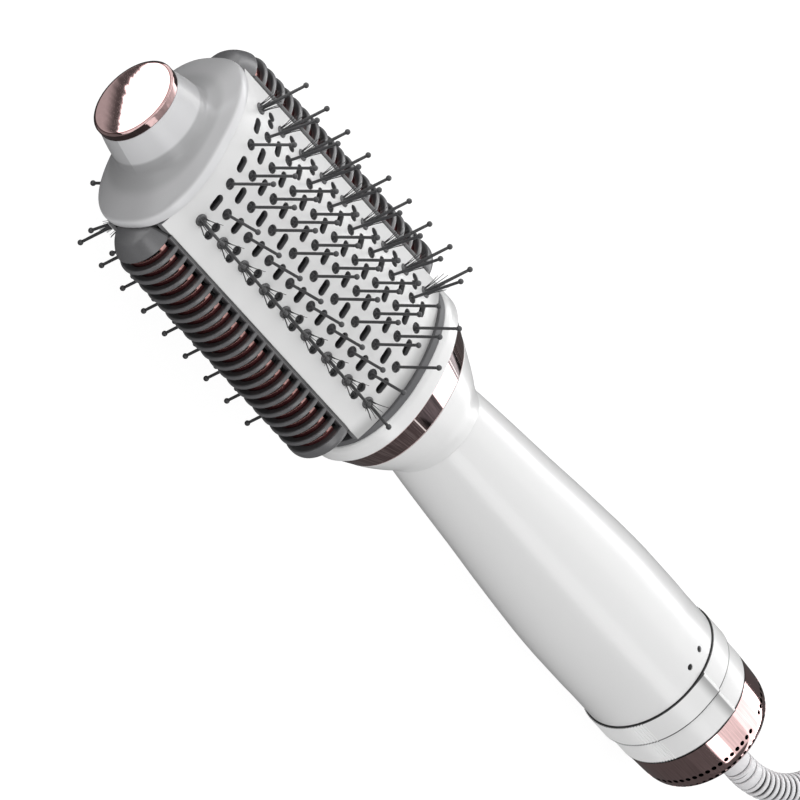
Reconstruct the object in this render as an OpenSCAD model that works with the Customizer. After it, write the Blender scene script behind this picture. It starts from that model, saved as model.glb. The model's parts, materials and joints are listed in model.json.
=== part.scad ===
// Hot air styler: an oval brush head with slotted side rolls, a round handle with two
// rotary rings at its tail, and a swivelling mains cord.
// Each piece is drawn along its own long axis, X from the tip of the head to the tail,
// Y to the right roll and Z out of the front face. lay() then sets it on the table.

/* [Tip] */
// Radius of the metal disc on the tip
disc_r = 15.2; // [12:0.1:16]
// Depth of the disc's rim
disc_h = 3.4; // [2.4:0.1:6]
// Bevel between the disc's face and its rim
disc_bevel = 1; // [0.4:0.1:1.6]
// Length of the knob, from the disc to the flange
knob_len = 14.6; // [12:0.2:24]
// Radius that the knob gains along its length
knob_flare = 2.3; // [1:0.1:3]
// Rise of the flange's sloped face
flange_rise = 3.8; // [2:0.1:6]
// Thickness of the flange's rounded lip
lip_t = 3.9; // [3:0.1:6]
// Half width of the flange
flange_a = 33; // [31:0.2:36]
// Half height of the flange
flange_b = 23; // [22.4:0.2:26]

/* [Head] */
// Length of the head between the flange and its base
head_len = 114; // [112:1:140]
// Radius of the curve of the front and back plates
plate_r = 54; // [50:0.5:64]
// Height of the plates' crown above the head's centre
crown = 21.6; // [20.6:0.1:22.4]
// Half width of the plates
plate_half = 31; // [29:0.2:32]
// Wall of the plates
plate_t = 1.8; // [1.2:0.1:2.2]
// Thickness of the carriers under the plates
carrier_t = 1.2; // [0.8:0.1:1.6]

/* [Pins] */
// Rows of pins in the longest columns
pin_rows = 9; // [5:1:9]
// Distance between rows
row_pitch = 12.1; // [10:0.1:12.2]
// First row, from the front end of the head
first_row = 9.35; // [7:0.05:12]
// Distance of the inner columns from the middle
col_1 = 7.8; // [6:0.1:9]
// Distance of the next columns from the middle
col_2 = 15.3; // [13.5:0.1:16.4]
// Distance of the tufted columns from the middle
col_3 = 22.2; // [21.6:0.1:23]
// Outward lean of the second columns
lean_2 = 21.5; // [10:0.5:30]
// Outward lean of the tufted columns
lean_3 = 32.8; // [20:0.5:40]
// Length of a pin, from the plate to the centre of its ball
pin_len = 18.7; // [12:0.1:24]
// Radius of a pin
pin_r = 0.5; // [0.3:0.05:0.8]
// Radius of the ball on a pin
ball_r = 0.95; // [0.85:0.05:1.4]
// Radius of the round foot of a pin
foot_r = 1.8; // [1.2:0.05:1.9]
// Length of an air slot in a plate, across the head
slot_len = 6; // [3.4:0.1:6.3]
// Width of an air slot in a plate
slot_w = 2.9; // [1.6:0.1:3.2]
// Strands in each tuft
tuft_strands = 9; // [5:1:10]
// Length of a strand
strand_len = 9; // [5:0.5:12]

/* [Side rolls] */
// Radius of the side rolls
roll_r = 12; // [11.8:0.1:13]
// Wall of the side rolls
roll_t = 2.4; // [1.6:0.1:2.8]
// Slots in a side roll
roll_slots = 20; // [8:1:20]
// Distance between the slots of a roll
roll_pitch = 5.05; // [4.6:0.05:5.05]
// Width of a slot of a roll
roll_slot_w = 3.5; // [2:0.1:3.8]
// Wall of the metal liners
liner_t = 0.8; // [0.5:0.1:1.2]

/* [Neck] */
// Thickness of the dark seal
seal_t = 1.9; // [1.4:0.1:3.2]
// Thickness of the white collar
collar_t = 6.8; // [4.8:0.2:10]
// Half width of the collar
collar_a = 34.2; // [33:0.2:37]
// Half height of the collar
collar_b = 24.6; // [23.6:0.2:27]
// Length of the metal neck band
band_len = 9.4; // [6:0.2:14]
// Length of the white shoulder
shoulder_len = 17.6; // [14:0.2:30]
// Outer radius of the air duct
duct_r = 15; // [13.5:0.1:15.6]
// Wall of the air duct
duct_t = 1.4; // [1:0.1:1.8]

/* [Handle] */
// Length of the handle's shell
handle_len = 133.5; // [118:0.5:160]
// Radius of the handle at the neck
handle_r0 = 18.5; // [18:0.1:20]
// Radius of the handle at the tail
handle_r1 = 25.2; // [25:0.1:28]
// Wall of the handle's shell
handle_t = 2; // [1.4:0.1:2.4]
// Radius of the motor's can
motor_r = 14; // [11:0.2:15]
// Length of the motor's can
motor_len = 32; // [24:1:34]
// Radius of the impeller
fan_r = 17.8; // [15:0.1:18.2]
// Blades of the impeller
fan_blades = 9; // [5:1:11]
// Radius of the motor's shaft
shaft_r = 1; // [0.8:0.05:1.6]

/* [Controls] */
// Length of the heat ring
heat_len = 10.5; // [9:0.1:16]
// Length of the speed ring
speed_len = 11.2; // [9:0.1:16]
// Radial clearance of the rings on their sleeve
ring_clear = 0.05; // [0.02:0.01:0.1]
// Gap beside each ring
ring_gap = 0.3; // [0.2:0.05:0.5]
// Turn of each ring to either side
ring_turn = 30; // [10:1:34]
// Height of the index ridge on each ring
ridge_h = 0.7; // [0.4:0.1:1]
// Wall of the sleeve that the rings turn on
sleeve_t = 1.8; // [1.4:0.1:2.4]

/* [Inlet] */
// Length of the inlet cap
cap_len = 19; // [17:0.2:26]
// Radius of the inlet cap beside the speed ring
cap_r = 24.9; // [24.2:0.1:25]
// Wall of the inlet cap
cap_t = 1.3; // [1:0.1:1.6]
// Air holes in each row round the cap
cap_holes = 60; // [30:1:66]
// Radius of an air hole
cap_hole_r = 0.8; // [0.4:0.05:0.85]

/* [Cord] */
// Diameter of the cord
cord_d = 6.5; // [5.6:0.1:6.6]
// Radius of the strain relief
relief_r = 5.5; // [5:0.1:5.8]
// Turns of the coil in each of its two layers
coil_turns = 3.5; // [1.5:1:3.5]
// Thickness of the cord tie
tie_t = 1; // [0.6:0.1:1]
// Length of the plug's body
plug_len = 40; // [30:1:50]
// Width of the plug's body
plug_w = 36; // [32:1:42]
// Radius of a plug pin
prong_r = 2.4; // [2:0.1:2.4]
// Length of a plug pin
prong_len = 19; // [15:0.5:19]
// Distance between the plug pins
prong_pitch = 19; // [16:0.5:19]

/* [Hidden] */
$fn = 64;

// Fit between fixed pieces, and the seam between visible shells
fit = 0.1;
// Overlap that joins the shapes of one solid, and the reach of a cut past it
eps = 0.5;
// Points round an oval
oval_n = 48;

// Stations along the axis
x_knob = disc_h;
x_crease = x_knob + knob_len;
x_flange = x_crease + flange_rise;
x_head0 = x_flange + lip_t;
x_head1 = x_head0 + head_len;
x_collar = x_head1 + seal_t;
x_band = x_collar + collar_t;
x_shoulder = x_band + band_len;
x_handle = x_shoulder + shoulder_len;
x_heat = x_handle + handle_len;
x_speed = x_heat + heat_len;
x_cap = x_speed + speed_len;
x_end = x_cap + cap_len;

// Tip
knob_r = disc_r + knob_flare;
dome_h = 0.5;
spigot_r = 7;
spigot_t = 1.4;
spigot_len = 4.6;
knob_floor = 2.6;
x_floor = x_knob + spigot_len + fit;
screw_r = 1.5;
screw_head_r = 3;
screw_head_h = 2.4;
post_r = 4;

// Plates: the curve's centre is below the axis for the front and above it for the back
arc_z = crown - plate_r;
carrier_r = plate_r - plate_t - fit;
carrier_x0 = x_head0 + 4;
carrier_x1 = x_head1 - 2.5;
carrier_half = (col_2 + col_3) / 2 - 0.1;
tuft_foot_r = foot_r + 0.2;
strip_half = col_3 + tuft_foot_r + 1.3;
foot_deep = 0.8;
foot_h = 0.3;
centre_trim = 0.2;
tuft_pin_len = pin_len - 1.6;
short_row = row_pitch / 2;
side_hole_r = 1.65;
side_hole_pitch = 2.9;
carrier_slot_shrink = 0.3;
strand_r = 0.22;
strand_splay = 13;

// Side rolls
roll_y = plate_half + 0.3;
roll_in = roll_r - roll_t;
nose_long = 14;
nose_cut = 11.2;
roll_x0 = x_head0 + fit;
roll_x1 = x_head1 - 3.9;
roll_slot_x0 = x_head0 + 7.5;
rail_w = 2.1;
liner_x0 = roll_x0 + 5;
liner_x1 = roll_x1 - 3;

// Neck and duct: the band's sections are x, half width, half height and squareness
band_t = 1.5;
band_shape = [[x_band, collar_a - 0.9, collar_b - 0.9, 2.2],
    [x_band + band_len * 0.5, collar_a - 3, collar_b - 1.7, 2.15],
    [x_shoulder, collar_a - 5.2, collar_b - 2.9, 2.1]];
duct_in = duct_r - duct_t;
duct_gap = 10.7;
motor_x0 = x_heat - 63;
duct_x1 = motor_x0 - duct_gap;
spine_tube_r = duct_in - fit;
heater_x0 = x_handle + 4;
heater_end_gap = 6;
heater_len = duct_x1 - heater_x0 - heater_end_gap;
card_t = 1;
card_half = duct_in - 1.6;
winding_t = 0.8;

// Handle: stations from the neck to the tail as shares of its length and of its swell
handle_curve = [[0, 0], [0.045, 0.09], [0.2, 0.33], [0.32, 0.5], [0.433, 0.687], [0.549, 0.854],
    [0.664, 0.99], [0.75, 1.03], [0.85, 1.03], [0.92, 1], [1, 1]];
function handle_r(x) = handle_r0 + (handle_r1 - handle_r0) * lookup((x - x_handle) / handle_len, handle_curve);
front_wall = 2;
motor_x1 = motor_x0 + motor_len;
holder_t = 1.4;
holder_rib = 1.6;
holder_ring_t = 1.2;
holder_ring_w = 4;
spokes = 6;
fan_x0 = motor_x1 + 3;
fan_w = 11;
hub_r = 6.5;
blade_t = 1;
lamp_x = x_heat - 5.4;
lamp_r = 1.1;
lamp_angles = [98.7, 81.9];
screw_x = x_heat - 6;
wire_r = 0.6;
wire_at = 19.3;
wire_angles = [30, 80, 100, 150];

// Controls
sleeve_r = 21.9;
sleeve_in = sleeve_r - sleeve_t;
ring_bore = sleeve_r + ring_clear;
ring_step = 0.6;
ring_r = handle_r1 + ring_step;
speed_r = cap_r + 0.05;
plug_in_x = x_heat - 10.5;
plug_in_r = handle_r(plug_in_x) - handle_t - fit;
sleeve_x1 = x_cap + 5.4;
index_angle = 94.5;
knurl_pitch = 2.6;
knurl_h = 0.25;
knurl_from = 155;
knurl_to = 385;
board_t = 1.6;
board_x0 = x_speed - board_t / 2;
lug_w = 3.4;
lug_deep = 6;
lug_half = 4;
window_half = ring_turn + lug_half + 5;
groove_deep = 0.6;
groove_half = ring_turn + 6;
detent_r = 1;
detent_at = sleeve_r - detent_r + groove_deep - fit;

// Inlet cap: the outer profile, from the ring to the flat end
cap_seat = 5;
cap_shape = [[x_cap + 0.15, cap_r], [x_end - 8.6, cap_r - 0.5], [x_end - 5.1, cap_r - 0.7],
    [x_end - 2.6, cap_r - 1.7], [x_end - 0.6, cap_r - 4], [x_end, cap_r - 6.5]];
hole_rows = [x_end - 7.6, x_end - 3.2];
filter_t = 0.6;
socket_r = 8;
socket_len = 8;
core_r = 5.1;
core_flange_r = 6.8;
core_flange_t = 1.6;
core_x0 = x_end - socket_len - core_flange_t - ring_gap;
core_x1 = x_end + 0.2;

// Rest on the table: the last back pins and the edge of the inlet cap touch it
pin_x = x_head0 + first_row + (pin_rows - 1) * row_pitch;
pin_z = surface_z(col_1) + pin_len;
edge_x = cap_shape[2][0];
edge_r = cap_shape[2][1];
rest_d = edge_x - pin_x;
rest_e = edge_r - pin_z;
tilt = asin(ball_r / norm([rest_d, rest_e])) - atan2(rest_e, rest_d);
lift = edge_x * sin(tilt) + edge_r * cos(tilt);
low_x = -(disc_r - disc_bevel) * sin(tilt);
high_x = x_end * cos(tilt) + cap_shape[5][1] * sin(tilt);
shift = -(low_x + high_x) / 2;

// Strain relief: a plain collar, two plain segments, then ribs round a bend towards +Y
relief_x0 = core_x1;
relief_straight = 18.2;
relief_bend = 41.5;
relief_arc = 52;
relief_len = relief_straight + relief_bend * relief_arc * PI / 180;
relief_collar = 16.7;
relief_segments = 2;
segment_step = 4;
groove_w = 0.6;
relief_ribs = 11;
rib_step = 2.8;
rib_w = 1.4;
relief_core_r = cord_d / 2 + 0.8;
relief_tip_r = relief_r - 0.3;
relief_sides = 12;

// Cord route on the table, from the relief's end to the coil, in the table's frame
route_points = [[236.5, 27.9, 17.6], [250.2, 37.6, 14.7], [265.4, 45.1, 11.3], [281.8, 50.3, 7.9], [298.6, 53.5, 5.4]];
coil_centre = [322, 4];
coil_in_r = 26;
coil_step = 7;
coil_out_r = coil_in_r + coil_turns * coil_step;
coil_z = tie_t + 0.2 + cord_d / 2;
coil_start = 90;
coil_rings = 24;
coil_sides = 6;
coil_steps = 2 * coil_turns * coil_rings + 2;
coil_total = coil_steps / coil_rings;
coil_tail = 20;
tie_at = -50;
tie_w = 9;
plug_z = coil_z + coil_step;
plug_neck = 18;
plug_neck_r = 7.5;
plug_half = plug_z - 1;
prong_root = 8;
prong_step = 0.4;

function surface_z(y) = arc_z + sqrt(plate_r * plate_r - y * y);
function placed(p) = [p[0] * cos(tilt) + p[2] * sin(tilt) + shift, p[1], p[2] * cos(tilt) - p[0] * sin(tilt) + lift];
function heading(v) = [v[0] * cos(tilt) + v[2] * sin(tilt), v[1], v[2] * cos(tilt) - v[0] * sin(tilt)];
function oval(a, b, n) = [for (k = [0:oval_n - 1]) let (t = 360 * k / oval_n)
    [a * sign(cos(t)) * pow(abs(cos(t)), 2 / n), b * sign(sin(t)) * pow(abs(sin(t)), 2 / n)]];
function nose_r(x) = roll_r * sqrt(1 - pow(max(0, roll_x0 + nose_cut - x) / nose_long, 2));

// Sets a piece on the table, head to the left and front face up
module lay() {
    translate([shift, 0, lift])
        rotate([0, tilt, 0])
            children();
}

// Turns a shape drawn up Z so that it runs along the axis from x
module along(x) {
    translate([x, 0, 0])
        rotate([0, 90, 0])
            children();
}

// Puts a shape drawn up Z at x, pointing out of the axis at an angle from +Y
module radial(x, angle) {
    translate([x, 0, 0])
        rotate([angle - 90, 0, 0])
            children();
}

// A ring or tube on the axis
module tube(x0, x1, r_out, r_in) {
    along(x0)
        difference() {
            cylinder(r = r_out, h = x1 - x0);
            translate([0, 0, -eps])
                cylinder(r = r_in, h = x1 - x0 + 2 * eps);
        }
}

// A solid through ovals: each section is x, half width, half height and squareness.
// A hollow one is a ring, and its last section leads back to its first.
module loft(sections, hollow = false) {
    m = oval_n;
    rows = len(sections);
    points = [for (s = sections) for (p = oval(s[1], s[2], s[3])) [s[0], p[0], p[1]]];
    sides = [for (i = [0:rows - (hollow ? 1 : 2)]) for (k = [0:m - 1])
        let (a = i * m + k, b = i * m + (k + 1) % m, j = ((i + 1) % rows - i) * m)
        each [[a, a + j, b], [b, a + j, b + j]]];
    caps = [[for (k = [0:m - 1]) k], [for (k = [m - 1:-1:0]) (rows - 1) * m + k]];
    polyhedron(points, hollow ? sides : concat(sides, caps));
}

// Places a shape drawn up Z on the front plate at x and y, leaning outwards
module on_plate(x, y, lean) {
    translate([x, y, surface_z(y)])
        rotate([-sign(y) * lean, 0, 0])
            children();
}

function column_x(k, short) = x_head0 + first_row + (short ? short_row : 0) + k * row_pitch;
function column_n(short) = pin_rows - (short ? 1 : 0);

// Repeats a shape at each pin of the inner columns
module each_pin() {
    for (c = [[0, true, 0], [col_1, false, 0], [col_2, true, lean_2]])
        for (side = c[0] == 0 ? [1] : [-1, 1])
            for (k = [0:column_n(c[1]) - 1])
                on_plate(column_x(k, c[1]), side * c[0], c[2])
                    children();
}

// Repeats a shape at each tuft
module each_tuft() {
    for (side = [-1, 1])
        for (k = [0:pin_rows - 1])
            on_plate(column_x(k, false), side * col_3, lean_3)
                children();
}

// Slots halfway between the pins, square to the plate, narrowed by some amount
module air_slots(narrow) {
    for (c = [[0, false], [col_1, true], [col_2, false]])
        for (side = c[0] == 0 ? [1] : [-1, 1])
            for (k = [0:column_n(c[1]) - 1])
                on_plate(column_x(k, c[1]), side * c[0], asin(c[0] / plate_r))
                    rotate([0, 0, 90])
                        obround(slot_len - narrow, slot_w - narrow);
}

// A round-ended cutter along X
module obround(length, width) {
    deep = plate_t + carrier_t + 2;
    straight = length - width;
    translate([-straight / 2, -width / 2, -deep])
        cube([straight, width, 2 * deep]);
    for (end = [-1, 1])
        translate([end * straight / 2, 0, -deep])
            cylinder(r = width / 2, h = 2 * deep);
}

// Pairs of round holes between the tufts, narrowed by some amount
module side_holes(narrow) {
    deep = plate_t + carrier_t + 2;
    for (side = [-1, 1], k = [0:pin_rows - 2], pair = [-1, 1])
        on_plate(column_x(k, true), side * (col_3 + pair * side_hole_pitch / 2 - 0.2), lean_3 - 8)
            translate([0, 0, -deep])
                cylinder(r = side_hole_r - narrow, h = 2 * deep);
}

// A curved sheet under or at the front face
module sheet(x0, x1, half, r, t) {
    intersection() {
        translate([0, 0, arc_z])
            tube(x0, x1, r, r - t);
        translate([x0 - eps, -half, 0])
            cube([x1 - x0 + 2 * eps, 2 * half, plate_r]);
    }
}

module tip_disc() {
    dome_r = ((disc_r - disc_bevel) * (disc_r - disc_bevel) + dome_h * dome_h) / (2 * dome_h);
    dome = [for (k = [0:6]) let (r = (disc_r - disc_bevel) * k / 6)
        [r, dome_r - dome_h - sqrt(dome_r * dome_r - r * r)]];
    color([0.86, 0.66, 0.62])
        lay()
            along(0)
                rotate_extrude()
                    polygon(concat(dome, [[disc_r - disc_bevel * 0.4, disc_bevel * 0.3],
                        [disc_r, disc_bevel], [disc_r, disc_h], [spigot_r, disc_h],
                        [spigot_r, disc_h + spigot_len], [spigot_r - spigot_t, disc_h + spigot_len],
                        [spigot_r - spigot_t, disc_h - 1], [0, disc_h - 1]]));
}

module tip_cap() {
    wall = 2.1;
    color([0.82, 0.82, 0.83])
        lay()
            difference() {
                loft([[x_knob + 0.05, disc_r, disc_r, 2],
                    [x_knob + knob_len * 0.5, disc_r + knob_flare * 0.66, disc_r + knob_flare * 0.66, 2],
                    [x_crease - 2.4, knob_r + 0.3, knob_r, 2],
                    [x_crease - 0.8, knob_r + 0.9, knob_r + 0.2, 2],
                    [x_crease, knob_r + 2.2, knob_r + 0.6, 2.1],
                    [x_crease + 0.6, knob_r + 4.8, knob_r + 1.5, 2.2],
                    [x_flange - 0.5, flange_a - 1.3, flange_b - 1, 2.5],
                    [x_flange, flange_a - 0.4, flange_b - 0.4, 2.5],
                    [x_flange + lip_t * 0.45, flange_a, flange_b, 2.5],
                    [x_head0, flange_a - 0.5, flange_b - 0.5, 2.5],
                    [x_head0, flange_a - wall, flange_b - wall, 2.5],
                    [x_flange + wall, flange_a - wall - 0.6, flange_b - wall - 0.6, 2.5],
                    [x_crease + wall + 0.6, knob_r + 1, knob_r - 1, 2.2],
                    [x_crease + 0.6, knob_r - wall, knob_r - wall, 2],
                    [x_floor + knob_floor, disc_r - wall + 0.6, disc_r - wall + 0.6, 2]]);
                along(x_knob - eps)
                    cylinder(r = spigot_r + fit, h = x_floor - x_knob + eps);
                along(x_floor - eps)
                    cylinder(r = screw_r + fit, h = knob_floor + 2 * eps);
            }
}

module tip_screw() {
    color([0.7, 0.7, 0.72])
        lay()
            along(x_floor - screw_head_h)
                union() {
                    cylinder(r = screw_head_r, h = screw_head_h);
                    cylinder(r = screw_r, h = screw_head_h + knob_floor + 12);
                }
}

// The pierced shell of the front, mirrored for the back
module plate() {
    difference() {
        sheet(x_head0 + fit, x_head1 - fit, plate_half, plate_r, plate_t);
        each_pin()
            translate([0, 0, -plate_t - 2])
                cylinder(r = foot_r + fit, h = plate_t + 4);
        each_tuft()
            translate([0, 0, -plate_t - 2])
                cylinder(r = tuft_foot_r + fit, h = plate_t + 4);
        air_slots(0);
        side_holes(0);
    }
}

module front_plate() {
    color([0.93, 0.93, 0.93])
        lay()
            plate();
}

module back_plate() {
    color([0.93, 0.93, 0.93])
        lay()
            mirror([0, 0, 1])
                plate();
}

// A ball-tipped pin on a round foot that ends at a height, up Z from the plate's surface
module pin(length, r, top) {
    base = plate_t + fit + carrier_t / 2;
    translate([0, 0, -base])
        cylinder(r = r, h = base + top);
    translate([0, 0, top - 0.2])
        cylinder(r1 = r * 0.65, r2 = pin_r + 0.1, h = 1);
    translate([0, 0, top - 0.4])
        cylinder(r = pin_r, h = length + 0.4 - top);
    translate([0, 0, length])
        sphere(r = ball_r);
}

module pin_field() {
    difference() {
        sheet(carrier_x0, carrier_x1, carrier_half, carrier_r, carrier_t);
        air_slots(carrier_slot_shrink);
    }
    for (side = [-1, 1], c = [[col_1, false, 0], [col_2, true, lean_2]])
        for (k = [0:column_n(c[1]) - 1])
            on_plate(column_x(k, c[1]), side * c[0], c[2])
                pin(pin_len, foot_r, -foot_deep);
    for (k = [0:column_n(true) - 1])
        on_plate(column_x(k, true), 0, 0)
            pin(pin_len - centre_trim, foot_r, -foot_deep);
}

module front_pins() {
    color([0.26, 0.26, 0.28])
        lay()
            pin_field();
}

module back_pins() {
    color([0.26, 0.26, 0.28])
        lay()
            mirror([0, 0, 1])
                pin_field();
}

// Fine three-sided strands that spread from the foot round the pin
module strands() {
    for (k = [0:tuft_strands - 1])
        rotate([0, 0, 360 * (k + 0.5) / tuft_strands])
            translate([tuft_foot_r * 0.6, 0, 0])
                rotate([0, strand_splay - 6 * (k % 2), 0])
                    cylinder(r1 = strand_r, r2 = strand_r / 2, h = strand_len - 1.5 * (k % 2), $fn = 3);
}

module tuft_field() {
    difference() {
        sheet(carrier_x0, carrier_x1, strip_half, carrier_r, carrier_t);
        translate([0, -carrier_half - fit, 0])
            cube([x_head1, 2 * (carrier_half + fit), plate_r]);
        side_holes(0.15);
    }
    each_tuft()
        union() {
            pin(tuft_pin_len, tuft_foot_r, foot_h);
            strands();
        }
}

module front_tufts() {
    color([0.3, 0.3, 0.32])
        lay()
            tuft_field();
}

module back_tufts() {
    color([0.3, 0.3, 0.32])
        lay()
            mirror([0, 0, 1])
                tuft_field();
}

// A half hoop round the right roll's centre, from one x to another, outside a height of y
module roll_rib(x0, x1, r_out, r_in, y) {
    intersection() {
        translate([0, roll_y, 0])
            tube(x0, x1, r_out, r_in);
        translate([x0 - eps, y, -roll_r])
            cube([x1 - x0 + 2 * eps, 2 * roll_r, 2 * roll_r]);
    }
}

// The right side roll: a slotted half-round shell with hooks under both plates
module comb() {
    rib_y = plate_half + rail_w + 0.3;
    nose = [for (k = [0:6]) let (x = roll_x0 + nose_cut * k / 6) [nose_r(x), x]];
    hook_x0 = roll_x0 + 16;
    hook_len = roll_x1 - roll_x0 - 30;
    difference() {
        intersection() {
            translate([0, roll_y, 0])
                along(0)
                    rotate_extrude()
                        polygon(concat([[0, roll_x0]], nose, [[roll_r, roll_x1 - 2.4],
                            [roll_r - 0.8, roll_x1 - 0.7], [roll_r - 2.6, roll_x1], [0, roll_x1]]));
            translate([roll_x0 - eps, plate_half + fit / 2, -roll_r - eps])
                cube([roll_x1 - roll_x0 + 2 * eps, roll_r + 4, 2 * roll_r + 2 * eps]);
        }
        translate([0, roll_y, 0])
            along(liner_x0 - fit)
                cylinder(r = roll_in, h = liner_x1 - liner_x0 + 2 * fit);
        translate([roll_slot_x0 - roll_slot_w / 2, rib_y, -roll_r - eps])
            cube([(roll_slots - 1) * roll_pitch + roll_slot_w, 2 * roll_r, 2 * roll_r + 2 * eps]);
    }
    for (k = [0:roll_slots - 2])
        let (x = roll_slot_x0 + k * roll_pitch + roll_slot_w / 2)
            roll_rib(x, x + roll_pitch - roll_slot_w, nose_r(x) - 0.08, roll_in + 0.08, rib_y - 0.2);
    for (side = [-1, 1]) {
        translate([hook_x0, roll_y, side * (roll_in - 0.4) - 0.9])
            cube([hook_len, rail_w - 0.2, 1.8]);
        translate([hook_x0, plate_half - 2, side * (roll_in - 1.3) - 0.7])
            cube([hook_len, 2.6, 1.4]);
    }
}

module right_comb() {
    color([0.3, 0.3, 0.32])
        lay()
            comb();
}

module left_comb() {
    color([0.3, 0.3, 0.32])
        lay()
            mirror([0, 1, 0])
                comb();
}

// The right metal liner, with a narrow slot under each slot of the roll
module liner() {
    liner_r = roll_in - 3 * fit;
    slit_w = 1.2;
    y0 = roll_y + rail_w;
    intersection() {
        translate([0, roll_y, 0])
            tube(liner_x0, liner_x1, liner_r, liner_r - liner_t);
        translate([liner_x0 - eps, y0, -roll_r])
            cube([liner_x1 - liner_x0 + 2 * eps, 2, 2 * roll_r]);
    }
    for (k = [0:roll_slots])
        let (x = roll_slot_x0 + k * roll_pitch - slit_w / 2)
            roll_rib(k == 0 ? liner_x0 : x - roll_pitch + slit_w, k == roll_slots ? liner_x1 : x,
                liner_r - 0.06, liner_r - liner_t + 0.06, y0 + 1.8);
}

module right_liner() {
    color([0.8, 0.55, 0.5])
        lay()
            liner();
}

module left_liner() {
    color([0.8, 0.55, 0.5])
        lay()
            mirror([0, 1, 0])
                liner();
}

// The frame inside the head: a windowed web, four bulkheads, a post and a foot
module head_spine() {
    web_t = 2;
    inner_r = carrier_r - carrier_t - fit;
    half = strip_half - 0.4;
    x0 = x_head0 + 3;
    x1 = x_head1 - 0.2;
    gap = (x1 - x0 - web_t) / 3;
    color([0.5, 0.5, 0.52])
        lay()
            difference() {
                union() {
                    for (k = [0:3])
                        intersection() {
                            translate([0, 0, arc_z])
                                along(x0 + k * gap)
                                    cylinder(r = inner_r, h = web_t);
                            translate([0, 0, -arc_z])
                                along(x0 + k * gap)
                                    cylinder(r = inner_r, h = web_t);
                            translate([x0 - eps, -half, -crown])
                                cube([x1 - x0 + 2 * eps, 2 * half, 2 * crown]);
                        }
                    translate([x0, -web_t / 2, 1 - crown + plate_t + carrier_t])
                        cube([x1 - x0, web_t, 2 * (crown - plate_t - carrier_t - 1)]);
                    along(x_floor + knob_floor + fit)
                        cylinder(r = post_r, h = x0 + 6 - x_floor - knob_floor);
                    along(x1 - web_t)
                        cylinder(r = spine_tube_r, h = web_t + 12);
                }
                along(x_floor)
                    cylinder(r = screw_r + 0.02, h = knob_floor + 13);
                for (k = [0:2], side = [-1, 1])
                    translate([x0 + k * gap + web_t + 6, -web_t, side * 9 - 4])
                        cube([gap - 12, 2 * web_t, 8]);
                for (k = [1:2], side = [-1, 1])
                    translate([x0 + k * gap - eps, side * 10.5 - 6.5, -9])
                        cube([web_t + 2 * eps, 13, 18]);
                along(x1 - web_t - eps)
                    cylinder(r = spine_tube_r - 1.6, h = web_t + 13);
            }
}

module base_seal() {
    color([0.42, 0.42, 0.43])
        lay()
            difference() {
                loft([[x_head1, collar_a - 1.4, collar_b - 1.9, 2.2],
                    [x_collar, collar_a - 1.2, collar_b - 1.1, 2.2]]);
                along(x_head1 - eps)
                    cylinder(r = duct_r + fit, h = seal_t + 2 * eps);
            }
}

module base_collar() {
    color([0.93, 0.93, 0.93])
        lay()
            difference() {
                loft([[x_collar, collar_a - 0.8, collar_b - 0.8, 2.2],
                    [x_collar + 0.8, collar_a - 0.1, collar_b - 0.1, 2.2],
                    [x_band - 0.6, collar_a, collar_b, 2.2],
                    [x_band, collar_a - 0.5, collar_b - 0.5, 2.2]]);
                along(x_collar - eps)
                    cylinder(r = duct_r + fit, h = collar_t + 2 * eps);
            }
}

module neck_ring() {
    inner = [for (k = [len(band_shape) - 1:-1:0]) let (b = band_shape[k])
        [b[0], b[1] - band_t, b[2] - band_t, b[3]]];
    color([0.8, 0.58, 0.54])
        lay()
            loft(concat(band_shape, inner), true);
}

// White shoulder with a spigot that fills the metal band
module shoulder() {
    spigot = [for (b = band_shape) [b[0], b[1] - band_t - fit, b[2] - band_t - fit, b[3]]];
    a0 = band_shape[2][1];
    b0 = band_shape[2][2];
    color([0.94, 0.94, 0.94])
        lay()
            difference() {
                loft(concat(spigot, [for (k = [0:6]) [x_shoulder + shoulder_len * k / 6,
                    a0 + (handle_r0 - a0) * k / 6, b0 + (handle_r0 - b0) * k / 6, 2.1 - 0.1 * k / 6]]));
                along(x_band - eps)
                    cylinder(r = duct_r + fit, h = band_len + shoulder_len + 2 * eps);
            }
}

module duct() {
    color([0.55, 0.55, 0.56])
        lay()
            tube(x_head1 + fit, duct_x1, duct_r, duct_in);
}

module heater_frame() {
    color([0.85, 0.8, 0.68])
        lay()
            union() {
                for (turn = [0, 90])
                    rotate([turn, 0, 0])
                        translate([heater_x0, -card_half, -card_t / 2])
                            cube([heater_len, 2 * card_half, card_t]);
                for (turn = [0, 90, 180, 270])
                    rotate([turn, 0, 0])
                        translate([heater_x0, card_half - 0.5, -card_t / 2])
                            cube([3, duct_in - card_half + 0.5 - fit, card_t]);
            }
}

module heater_winding() {
    color([0.72, 0.55, 0.4])
        lay()
            tube(heater_x0 + 5, heater_x0 + heater_len - 4, card_half + fit + winding_t, card_half + fit);
}

module thermostat() {
    color([0.75, 0.75, 0.77])
        lay()
            translate([heater_x0 + heater_len - 10, 6, card_t / 2 + 0.05])
                cylinder(r = 4, h = 3);
}

module thermal_fuse() {
    color([0.8, 0.75, 0.6])
        lay()
            translate([heater_x0 + heater_len - 22, -6, card_t / 2 + 1.25])
                rotate([0, 90, 0])
                    cylinder(r = 1.2, h = 12);
}

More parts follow.
